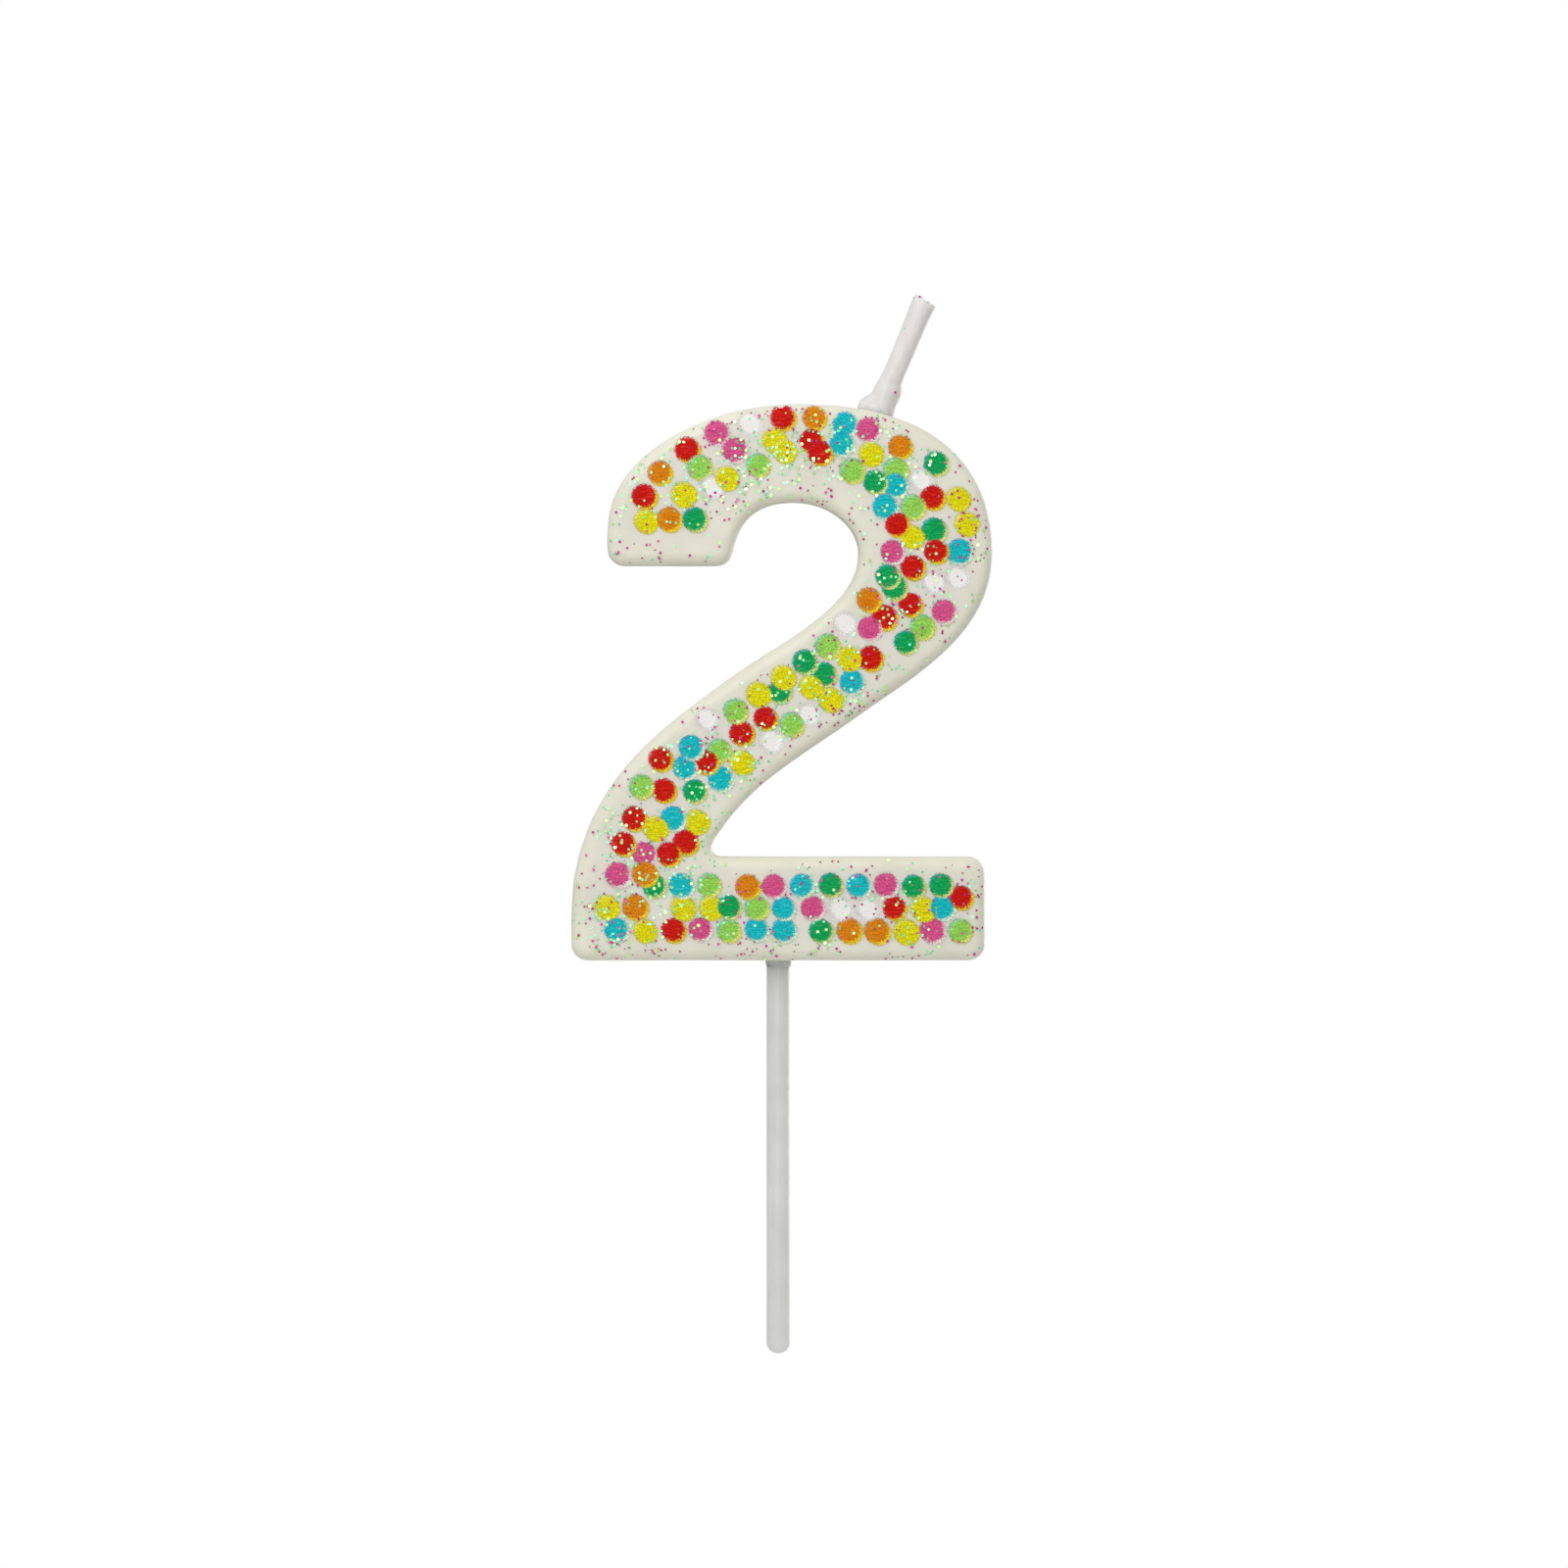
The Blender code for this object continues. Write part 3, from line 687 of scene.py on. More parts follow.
def cast_numeral(settings):
    """The casting's outer skin."""
    rim, shoulder = numeral_rim()
    line = smoothed(rim, settings.grid)
    ways = [(line[(i + 1) % len(line)] - line[i - 1]).normalized() for i in range(len(line))]
    bm = bmesh.new()
    rings = []
    for inset, y in casting_section(shoulder, settings.seam):
        moved = [point + left_of(way) * inset for point, way in zip(line, ways)]
        rings.append([bm.verts.new((point.x, y, point.y)) for point in moved])
    bridge(bm, rings)
    fill_face(bm, rings[0], settings.grid)
    fill_face(bm, rings[-1], settings.grid * 1.3)
    # The film share is 0 at the face's rim and rises inward over the margin and the fade. It tints the face
    # pinker inside; the creamer band it leaves at the rim is painted shade, the cream tint of the shaded
    # shoulders. The glitter's density also reads it.
    film = bm.verts.layers.float.new("film")
    edge = np.array(line)
    for vertex in bm.verts:
        if min(vertex.co.y - WAX_LOW.y, WAX_HIGH.y - vertex.co.y) > shoulder / 2:
            continue
        inward = np.hypot(*(edge - (vertex.co.x, vertex.co.z)).T).min()
        if vertex.co.y < 0:
            vertex[film] = max(0.0, min(1.0, (inward - settings.film_and_rim_shade_margin) / settings.film_and_rim_shade_fade))
        else:
            share = max(0.0, min(1.0, (inward - shoulder) / settings.sink_run))
            vertex.co.y -= settings.sink * share**2 * (3 - 2 * share)
    for vertex in bm.verts:
        vertex.co = wandered(vertex.co, settings)
    return mesh_from(bm, "numeral_casting")


def turned_shape(name, rings, sides=48):
    """A closed shape from (z, radius at an angle) rings round the pick's axis."""
    bm = bmesh.new()
    loops = []
    for z, radius in rings:
        turns = [math.tau * i / sides for i in range(sides)]
        loops.append([bm.verts.new((radius(t) * math.cos(t), radius(t) * math.sin(t), z)) for t in turns])
    bridge(bm, loops)
    bm.faces.new(loops[0])
    bm.faces.new(loops[-1])
    return add_piece(name, mesh_from(bm, name))


def pick_bead(settings):
    """The bead of wax that ran down the pick: drawn out on its left, and stepped on its right."""
    wall, drop = settings.bead_wall, settings.bead_drop

    def radius(depth):
        def at(turn):
            right = 0.5 + 0.5 * math.cos(turn)
            share = depth / drop
            drawn = wall * (1 - share) ** 0.8
            stepped = wall * (1.0 if share < 0.86 else (1 - share) / 0.14)
            lump = 0.25 * wall * noise.noise(Vector((2 * math.cos(turn), 2 * math.sin(turn), depth / MM)))
            return PICK_RADIUS + drawn * (1 - right) + stepped * right + lump * (1 - share)

        return at

    depths = [drop * i / 12 for i in range(12)]
    below = [(-depth, radius(depth)) for depth in depths]
    return turned_shape("pick bead", [(drop, radius(0)), (0.3 * drop, radius(0))] + below)


def combine(target, helper, operation):
    """Joins a helper shape to the target, or cuts it out, and removes the helper."""
    modifier = target.modifiers.new(operation, "BOOLEAN")
    modifier.object = helper
    modifier.operation = operation
    modifier.solver = "EXACT"
    bpy.context.view_layer.update()
    evaluated = target.evaluated_get(bpy.context.evaluated_depsgraph_get())
    mesh = bpy.data.meshes.new_from_object(evaluated)
    target.modifiers.remove(modifier)
    bpy.data.objects.remove(helper)
    old, target.data = target.data, mesh
    bpy.data.meshes.remove(old)


class CANDLE_OT_casting(Operator):
    """Casts the wax numeral with its mould seam, the bead round the pick and the pick's socket"""

    bl_idname = "candle.casting"
    bl_label = "Wax Casting"

    def execute(self, context):
        settings = context.scene.candle_casting
        casting = add_piece("wax_casting", cast_numeral(settings))
        combine(casting, pick_bead(settings), "UNION")
        bore = PICK_RADIUS + settings.clearance
        ends = (PICK_HIGH.z + 0.1 * MM, WAX_LOW.z - 2 * settings.bead_drop)
        combine(casting, turned_shape("pick socket", [(z, lambda turn: bore) for z in ends]), "DIFFERENCE")
        casting.data.materials.clear()
        casting.data.materials.append(cast_paraffin(settings))
        casting.data.shade_smooth()
        casting.data.set_sharp_from_angle(angle=math.radians(40))
        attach(casting, "numeral")
        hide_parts("wax_numeral")
        return {"FINISHED"}


# ---- The print ----


def curve_points(knots, steps=60):
    """A smooth line through the knots, as rows of x and z."""
    knots = np.array(knots)
    row = np.vstack([2 * knots[0] - knots[1], knots, 2 * knots[-1] - knots[-2]])
    found = []
    for before, start, end, after in zip(row, row[1:], row[2:], row[3:]):
        for t in np.arange(steps) / steps:
            bow = 2 * before - 5 * start + 4 * end - after
            found.append(
                start + (
                    (end - before) * t + bow * t**2 + (3 * start - before - 3 * end + after) * t**3
                ) / 2,
            )
    return np.array(found + [knots[-1]])


def chart_dots():
    """Each dot's letter and its place on the face, in metres."""
    line = curve_points(STROKE)
    run = np.concatenate([[0], np.cumsum(np.hypot(*np.diff(line, axis=0).T))])
    way = np.gradient(line, axis=0)
    way /= np.hypot(*way.T)[:, None]
    for lane, letters in enumerate(STROKE_CHART, STROKE_FIRST_LANE):
        for column, letter in enumerate(letters):
            if letter in INKS:
                at = column * CHART_COLUMN
                x, z, along_x, along_z = (np.interp(at, run, values) for values in (*line.T, *way.T))
                aside = lane * CHART_ROW
                yield letter, ((x + along_z * aside) * MM, (z - along_x * aside) * MM)
    for row, letters in enumerate(BAR_CHART):
        for column, letter in enumerate(letters):
            if letter in INKS:
                z = (BAR_FIRST_ROW + row * CHART_ROW) * MM
                yield letter, (BAR_LEFT + column * CHART_COLUMN * MM, z)


def ink_blank(settings, sides=24):
    """One dot as a thin closed disc, long enough for both plates, with its place in mm as its UV map."""
    radius, shift = settings.diameter / 2 + settings.spread, settings.misprint / 2
    slant = Vector((math.sqrt(0.5), -math.sqrt(0.5)))
    bm = bmesh.new()
    skin = bm.verts.layers.float.new("skin")
    rings = []
    for share, top in ((1.0, 0.0), (1.0, 0.7), (0.92, 1.0), (0.68, 1.0), (0.44, 1.0), (0.2, 1.0)):
        ring = []
        for i in range(sides):
            way = Vector((math.cos(math.tau * i / sides), math.sin(math.tau * i / sides)))
            flat = way * radius * share + slant * shift * math.copysign(
                min(1.0, 3 * abs(way.dot(slant))), way.dot(slant)
            ) * share
            vertex = bm.verts.new((flat.x, 0, flat.y))
            vertex[skin] = top
            ring.append(vertex)
        rings.append(ring)
    bridge(bm, rings)
    bm.faces.new(rings[-1])
    bm.faces.new(rings[0])
    bmesh.ops.recalc_face_normals(bm, faces=bm.faces)
    uv = bm.loops.layers.uv.new("Ink")
    for face in bm.faces:
        for corner in face.loops:
            corner[uv].uv = (corner.vert.co.x / MM, corner.vert.co.z / MM)
    mesh = bpy.data.meshes.new("ink blank")
    bm.to_mesh(mesh)
    bm.free()
    return mesh


# A dot is laid on from this far in front of the face, and folds this far down the rounded shoulder.
PRINT_LEAD = 5 * MM
PRINT_FOLD = 0.8 * MM


def dot_tree():
    """Sets a blank on each point, scatters it a little and lays it on the wax.

    What would fall past the shoulder goes to the nearest wax instead.
    """
    tree, given = node_group(
        "Printed dots", Blank="Object", Wax="Object", Ink="Float", Scatter="Float", Seed="Int",
        Material="Material",
    )
    blank = add_node(tree, "GeometryNodeObjectInfo", {"Object": given.outputs["Blank"]})
    wax = add_node(tree, "GeometryNodeObjectInfo", {"Object": given.outputs["Wax"]})
    stray = add_node(
        tree, "FunctionNodeRandomValue",
        {0: (-1.0, 0.0, -1.0), 1: (1.0, 0.0, 1.0), "Seed": given.outputs["Seed"]}, data_type="FLOAT_VECTOR",
    )
    offset = add_node(
        tree, "ShaderNodeVectorMath", {0: stray, "Scale": given.outputs["Scatter"]}, operation="SCALE"
    )
    spread = add_node(tree, "GeometryNodeSetPosition", {0: given.outputs["Geometry"], "Offset": offset})
    seeds = add_node(
        tree, "FunctionNodeRandomValue", {2: 0.0, 3: 90.0, "Seed": given.outputs["Seed"]},
        data_type="FLOAT",
    )
    seeded = add_node(
        tree, "GeometryNodeStoreNamedAttribute", {0: spread, "Name": "ink_seed", "Value": seeds},
        data_type="FLOAT", domain="POINT",
    )
    sizes = add_node(
        tree, "FunctionNodeRandomValue", {2: 0.95, 3: 1.04, "Seed": given.outputs["Seed"]},
        data_type="FLOAT",
    )
    placed = add_node(
        tree, "GeometryNodeInstanceOnPoints",
        {0: seeded, "Instance": blank.outputs["Geometry"], "Scale": sizes},
    )
    real = add_node(tree, "GeometryNodeRealizeInstances", [placed])
    place = add_node(tree, "GeometryNodeInputPosition")
    start = add_node(
        tree, "ShaderNodeVectorMath", [place, (0.0, WAX_LOW.y - PRINT_LEAD, 0.0)], operation="ADD"
    )
    hit = add_node(
        tree, "GeometryNodeRaycast",
        {
            "Target Geometry": wax.outputs["Geometry"], "Source Position": start,
            "Ray Direction": (0, 1, 0), "Ray Length": PRINT_LEAD + PRINT_FOLD,
        },
    )
    level = add_node(tree, "ShaderNodeVectorMath", [place, (0.0, WAX_LOW.y, 0.0)], operation="ADD")
    near = add_node(
        tree, "GeometryNodeProximity",
        {"Target": wax.outputs["Geometry"], "Source Position": level }, target_element="FACES",
    )
    found = add_node(
        tree, "GeometryNodeSwitch",
        {
            "Switch": hit.outputs["Is Hit"], "False": near.outputs["Position"],
            "True": hit.outputs["Hit Position"],
        },
        input_type="VECTOR",
    )
    skin = add_node(tree, "GeometryNodeInputNamedAttribute", {"Name": "skin"}, data_type="FLOAT")
    layer = add_node(tree, "GeometryNodeInputNamedAttribute", {"Name": "layer"}, data_type="FLOAT")
    depth = add_node(tree, "ShaderNodeMath", [skin, given.outputs["Ink"]], operation="MULTIPLY")
    height = add_node(tree, "ShaderNodeMath", [depth, layer], operation="ADD")
    lift = add_node(
        tree, "ShaderNodeVectorMath", {0: hit.outputs["Hit Normal"], "Scale": height}, operation="SCALE"
    )
    onto = add_node(tree, "ShaderNodeVectorMath", [found, lift], operation="ADD")
    laid = add_node(tree, "GeometryNodeSetPosition", {0: real, "Position": onto})
    end_tree(tree, laid, given.outputs["Material"])
    return tree


class CANDLE_OT_print(Operator):
    """Lays the heat-transfer dots on the numeral's face, one piece for each ink"""

    bl_idname = "candle.dot_print"
    bl_label = "Dot Print"

    def execute(self, context):
        settings = context.scene.candle_print
        blank = add_piece("ink blank", ink_blank(settings))
        tree = dot_tree()
        dots = list(chart_dots())
        for number, (letter, (name, *plates)) in enumerate(INKS.items()):
            places = [(i, place) for i, (found, place) in enumerate(dots) if found == letter]
            sheet = bpy.data.meshes.new("dot places")
            sheet.from_pydata([(x, 0, z) for _, (x, z) in places], [], [])
            layers = sheet.attributes.new("layer", "FLOAT", "POINT")
            layers.data.foreach_set("value", [settings.ink * (0.3 + 0.01 * i) for i, _ in places])
            values = {
                "Blank": blank, "Wax": bpy.data.objects["wax_casting"], "Ink": settings.ink,
                "Scatter": settings.scatter, "Seed": number, "Material": transfer_ink(
                    name, *plates, settings
                ),
            }
            piece = grown(f"print_dots_{name}", add_piece("dot places", sheet), tree, values)
            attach(piece, "numeral")
            if number == 0:
                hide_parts("dot_print")
        bpy.data.objects.remove(blank)
        return {"FINISHED"}


# ---- The glitter ----


def flake_tree():
    """Scatters six-sided flakes over a surface in patches, each tipped a little its own way."""
    tree, given = node_group(
        "Glitter flakes", Surface="Object", Density="Float", Face_Only="Float", Edge="Float", Middle="Float",
        Cluster="Float", Flake="Float", Thickness="Float", Lift="Float", Tilt="Float", Seed="Int",
        Material="Material",
    )
    surface = add_node(tree, "GeometryNodeObjectInfo", {"Object": given.outputs["Surface"]})
    normal = add_node(tree, "GeometryNodeInputNormal")
    toward = add_node(tree, "ShaderNodeVectorMath", [normal, tuple(TO_VIEWER)], operation="DOT_PRODUCT")
    facing = add_node(
        tree, "ShaderNodeMapRange", [toward.outputs["Value"], given.outputs["Face Only"], 0.9, 0.0, 1.0]
    )
    place = add_node(tree, "GeometryNodeInputPosition")
    patchy = add_node(tree, "ShaderNodeMath", [1.0, given.outputs["Cluster"]], operation="DIVIDE")
    patch = add_node(
        tree, "ShaderNodeTexNoise",
        {"Vector": place, "W": given.outputs["Seed"], "Scale": patchy, "Detail": 2.0},
        noise_dimensions="4D",
    )
    gather = add_node(tree, "ShaderNodeMapRange", [patch, 0.42, 0.64, 0.1, 2.6])
    # The film share, 0 at the face's rim and 1 inside; on the wax it also places the painted rim shade.
    film = add_node(tree, "GeometryNodeInputNamedAttribute", {"Name": "film"}, data_type="FLOAT")
    zone = add_node(
        tree, "ShaderNodeMapRange", [film, 0.0, 1.0, given.outputs["Edge"], given.outputs["Middle"]]
    )
    there = add_node(tree, "ShaderNodeMath", [facing, zone], operation="MULTIPLY")
    local = add_node(tree, "ShaderNodeMath", [there, gather], operation="MULTIPLY")
    density = add_node(tree, "ShaderNodeMath", [local, given.outputs["Density"]], operation="MULTIPLY")
    spread = add_node(
        tree, "GeometryNodeDistributePointsOnFaces",
        {0: surface.outputs["Geometry"], "Density": density, "Seed": given.outputs["Seed"]},
    )
    tones = add_node(
        tree, "FunctionNodeRandomValue", {2: 0.0, 3: 1.0, "Seed": given.outputs["Seed"]}, data_type="FLOAT"
    )
    toned = add_node(
        tree, "GeometryNodeStoreNamedAttribute", {0: spread, "Name": "tone", "Value": tones},
        data_type="FLOAT", domain="POINT",
    )
    radius = add_node(tree, "ShaderNodeMath", [given.outputs["Flake"], 0.5], operation="MULTIPLY")
    flake = add_node(
        tree, "GeometryNodeMeshCylinder",
        {"Vertices": 6, "Radius": radius, "Depth": given.outputs["Thickness"]},
    )
    down = add_node(tree, "ShaderNodeMath", [given.outputs["Tilt"], -1.0], operation="MULTIPLY")
    least = add_node(tree, "ShaderNodeCombineXYZ", [down, down, 0.0])
    most = add_node(tree, "ShaderNodeCombineXYZ", [given.outputs["Tilt"], given.outputs["Tilt"], math.tau])
    tipped = add_node(
        tree, "FunctionNodeRandomValue", {0: least, 1: most, "Seed": given.outputs["Seed"]},
        data_type="FLOAT_VECTOR",
    )
    turned = add_node(
        tree, "FunctionNodeRotateRotation", [spread.outputs["Rotation"], tipped], rotation_space="LOCAL"
    )
    sizes = add_node(
        tree, "FunctionNodeRandomValue", {2: 0.55, 3: 1.3, "Seed": given.outputs["Seed"]},
        data_type="FLOAT",
    )
    placed = add_node(
        tree, "GeometryNodeInstanceOnPoints",
        {0: toned, "Instance": flake.outputs["Mesh"], "Rotation": turned, "Scale": sizes},
    )
    lifted = add_node(
        tree, "GeometryNodeTranslateInstances",
        {
            0: placed,
            "Translation": add_node(tree, "ShaderNodeCombineXYZ", [0.0, 0.0, given.outputs["Lift"]]),
            "Local Space": True,
        },
    )
    end_tree(tree, lifted, given.outputs["Material"])
    return tree


class CANDLE_OT_glitter(Operator):
    """Scatters the two tones of glitter over the numeral's face and the wick"""

    bl_idname = "candle.glitter"
    bl_label = "Glitter"

    def execute(self, context):
        settings = context.scene.candle_glitter
        tree = flake_tree()
        films = {
            "mint": glitter_film("mint", ("#30FF90", "#88FFC4", "#E0FFA0"), 0.6),
            "magenta": glitter_film("magenta", ("#74004A", "#B00C6C", "#D02C98"), 0.25),
        }
        shares = {"mint": (0.35, 1.0), "magenta": (1.2, 0.6)}
        for number, (tone, film) in enumerate(films.items()):
            edge, middle = shares[tone]
            for surface, share, face_only in (("wax_casting", 1.0, 0.45), ("wick_sheath", 0.12, -0.4)):
                values = {
                    "Surface": bpy.data.objects[surface],
                    "Density": share * getattr(settings, f"{tone}_density") / MM**2,
                    "Face Only": face_only, "Edge": edge, "Middle": middle,
                    "Cluster": settings.cluster, "Flake": getattr(settings, tone),
                    "Thickness": settings.thickness, "Lift": settings.lift, "Tilt": settings.tilt,
                    "Seed": settings.seed + number, "Material": film,
                }
                holder = add_piece("flake holder", bpy.data.meshes.new("flake holder"))
                on_wick = surface == "wick_sheath"
                piece = grown(
                    f"glitter_{tone}_{'wick' if on_wick else 'face'}", holder, tree, values, sharp=30.0
                )
                if on_wick:
                    blend_wick(piece)
                else:
                    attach(piece, "numeral")
        return {"FINISHED"}


# ---- The wick ----


def blend_wick(piece):
    """Bakes a piece of the wick's placement into its mesh."""
    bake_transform(piece)


# The sheath's radius on its left and right side, in mm, from its foot to its cut end. Both are by height
# above the bend, also in mm.
SHEATH_LEFT = [
    (-4.4, 2.1), (-2.7, 2.16), (-1.9, 2.24), (-1.25, 1.92), (-0.6, 1.41), (0.6, 1.32), (2.6, 1.18),
    (7.0, 1.26), (9.6, 1.4), (10.4, 1.4), (10.7, 1.28),
]
SHEATH_RIGHT = [
    (-4.4, 1.85), (-1.9, 1.82), (-1.2, 1.66), (-0.3, 1.64), (0.45, 1.66), (0.85, 1.61), (1.35, 1.26),
    (2.2, 1.16), (9.0, 1.12), (10.3, 1.2), (10.7, 1.24),
]


def sheath_radius(height, turn, settings):
    """The sheath's radius at a height above the bend and an angle round it from its right side."""
    right = 0.5 + 0.5 * math.cos(turn)
    sides = [np.interp(height / MM, *zip(*rows)) for rows in (SHEATH_RIGHT, SHEATH_LEFT)]
    place = Vector((math.cos(turn), math.sin(turn), height / MM / 3.2))
    low = max(0.0, min(1.0, (2.2 * MM - height) / (3 * MM)))
    lump = noise.noise(place * 1.3) + 0.5 * noise.noise(place * Vector((2.9, 2.9, 6.0)).length / 2)
    return (sides[0] * right + sides[1] * (1 - right)) * MM + lump * settings.lumps * (0.35 + 1.9 * low)


def wick_point(height, turn, radius, settings):
    """A point this far out from the wick's axis, where turn 0 is to its right and a quarter turn to the back.

    Towards the tip the left side runs on further than the right, because the wick is cut at a slant.
    """
    out = WICK_RIGHT * math.cos(turn) - TO_VIEWER * math.sin(turn)
    near = max(0.0, 1 - (WICK_REACH - height) / settings.slant_run)
    return BEND + WICK_AXIS * (height + settings.slant * near * (0.5 - 0.5 * math.cos(turn))) + out * radius


def dipped_sheath(settings, sides=56):
    """The coat of wax from the wick's foot in the casting to its cut end."""
    bm = bmesh.new()
    turns = [math.tau * i / sides for i in range(sides)]
    count = round((WICK_REACH + settings.sink) / settings.ring)
    heights = [-settings.sink + (WICK_REACH + settings.sink) * i / count for i in range(count + 1)]
    rings = [
        [
            bm.verts.new(
                wick_point(height, turn, sheath_radius(height, turn, settings), settings)
            ) for turn in turns
        ]
        for height in heights
    ]
    for share, sunk in ((0.93, 0.0), (0.8, 0.04 * MM), (0.45, 0.12 * MM)):
        rings.append([
            bm.verts.new(
                wick_point(
                    WICK_REACH - sunk, turn, share * sheath_radius(WICK_REACH, turn, settings), settings
                )
            )
            for turn in turns
        ])
    bridge(bm, rings)
    bm.faces.new(rings[0])
    bm.faces.new(rings[-1])
    return mesh_from(bm, "wick_sheath")


def wick_path():
    """The wick's middle line, from its root in the wax, round to the bend and straight on to the tip."""
    reach = (WICK_ROOT - BEND).length
    pull = 0.38 * reach
    inner = geometry.interpolate_bezier(WICK_ROOT, WICK_ROOT + UP * pull, BEND - WICK_AXIS * pull, BEND, 40)
    steps = round(WICK_REACH / (0.4 * MM))
    return inner + [BEND + WICK_AXIS * WICK_REACH * (i + 1) / steps for i in range(steps)]


def ply_tree():
    """Lays one ply round a line, as a yarn of a few twisted strands."""
    tree, given = node_group(
        "Twisted ply", Orbit="Float", Radius="Float", Pitch="Float", Start="Float", Material="Material"
    )
    fine = add_node(
        tree, "GeometryNodeResampleCurve", {0: given.outputs["Geometry"], "Length": 0.2 * MM},
        mode="LENGTH",
    )
    along = add_node(tree, "GeometryNodeSplineParameter")
    turns = add_node(
        tree, "ShaderNodeMath", [along.outputs["Length"], given.outputs["Pitch"]], operation="DIVIDE"
    )
    begun = add_node(tree, "ShaderNodeMath", [turns, given.outputs["Start"]], operation="ADD")
    angle = add_node(tree, "ShaderNodeMath", [begun, math.tau], operation="MULTIPLY")
    way = add_node(tree, "GeometryNodeInputTangent")
    side = add_node(tree, "ShaderNodeVectorMath", [way, (0, 1, 0)], operation="CROSS_PRODUCT")
    across = add_node(tree, "ShaderNodeMath", [angle], operation="COSINE")
    inward = add_node(tree, "ShaderNodeMath", [angle], operation="SINE")
    flat = add_node(tree, "ShaderNodeVectorMath", {0: side, "Scale": across}, operation="SCALE")
    deep = add_node(tree, "ShaderNodeCombineXYZ", [0.0, inward, 0.0])
    out = add_node(tree, "ShaderNodeVectorMath", [flat, deep], operation="ADD")
    offset = add_node(
        tree, "ShaderNodeVectorMath", {0: out, "Scale": given.outputs["Orbit"]}, operation="SCALE"
    )
    wound = add_node(tree, "GeometryNodeSetPosition", {0: fine, "Offset": offset})
    twisted = add_node(
        tree, "GeometryNodeSetCurveTilt",
        {0: wound, "Tilt": add_node(tree, "ShaderNodeMath", [angle, 1.6], operation="MULTIPLY")},
    )
    profile = add_node(
        tree, "GeometryNodeCurvePrimitiveCircle", {"Resolution": 20, "Radius": given.outputs["Radius"]}
    )
    spot = add_node(tree, "GeometryNodeSplineParameter")
    lobes = add_node(tree, "ShaderNodeMath", [spot.outputs["Factor"], math.tau * 5], operation="MULTIPLY")
    wave = add_node(tree, "ShaderNodeMath", [lobes], operation="COSINE")
    pinch = add_node(tree, "ShaderNodeMath", [wave, 0.06, 0.94], operation="MULTIPLY_ADD")
    spoke = add_node(tree, "GeometryNodeInputPosition")
    pinched = add_node(tree, "ShaderNodeVectorMath", {0: spoke, "Scale": pinch}, operation="SCALE")
    strand = add_node(tree, "GeometryNodeSetPosition", {0: profile, "Position": pinched})
    yarn = add_node(
        tree, "GeometryNodeCurveToMesh", {"Curve": twisted, "Profile Curve": strand, "Fill Caps": True}
    )
    end_tree(tree, yarn, given.outputs["Material"])
    return tree


def line_object(name, points):
    """A curve object that runs straight from point to point."""
    curve = bpy.data.curves.new(name, "CURVE")
    curve.dimensions = "3D"
    spline = curve.splines.new("POLY")
    spline.points.add(len(points) - 1)
    for spot, point in zip(spline.points, points):
        spot.co = (*point, 1.0)
    made = bpy.data.objects.new(name, curve)
    bpy.context.scene.collection.objects.link(made)
    return made


class CANDLE_OT_wick(Operator):
    """Lays the twisted cotton plies and dips them in their sheath of wax, with its collar"""

    bl_idname = "candle.wick"
    bl_label = "Wick"

    def execute(self, context):
        settings = context.scene.candle_wick
        sheath = add_piece("wick_sheath", dipped_sheath(settings), dipped_wax(settings))
        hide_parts("wick_coat")
        blend_wick(sheath)
        tree, cotton = ply_tree(), cotton_yarn(settings)
        path = wick_path()
        path.append(path[-1] + WICK_AXIS * settings.stub)
        orbit = (settings.ply + settings.gap) / (2 * math.sin(math.pi / PLY_COUNT))
        for i in range(PLY_COUNT):
            values = {
                "Orbit": orbit, "Radius": settings.ply / 2, "Pitch": settings.pitch, "Start": i / PLY_COUNT,
                "Material": cotton,
            }
            ply = grown(f"wick_ply_{i + 1}", line_object("wick line", path), tree, values, sharp=60.0)
            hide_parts(f"wick_ply_upper_{i + 1}", f"wick_ply_lower_{i + 1}")
            blend_wick(ply)
        return {"FINISHED"}


# ---- The pick ----


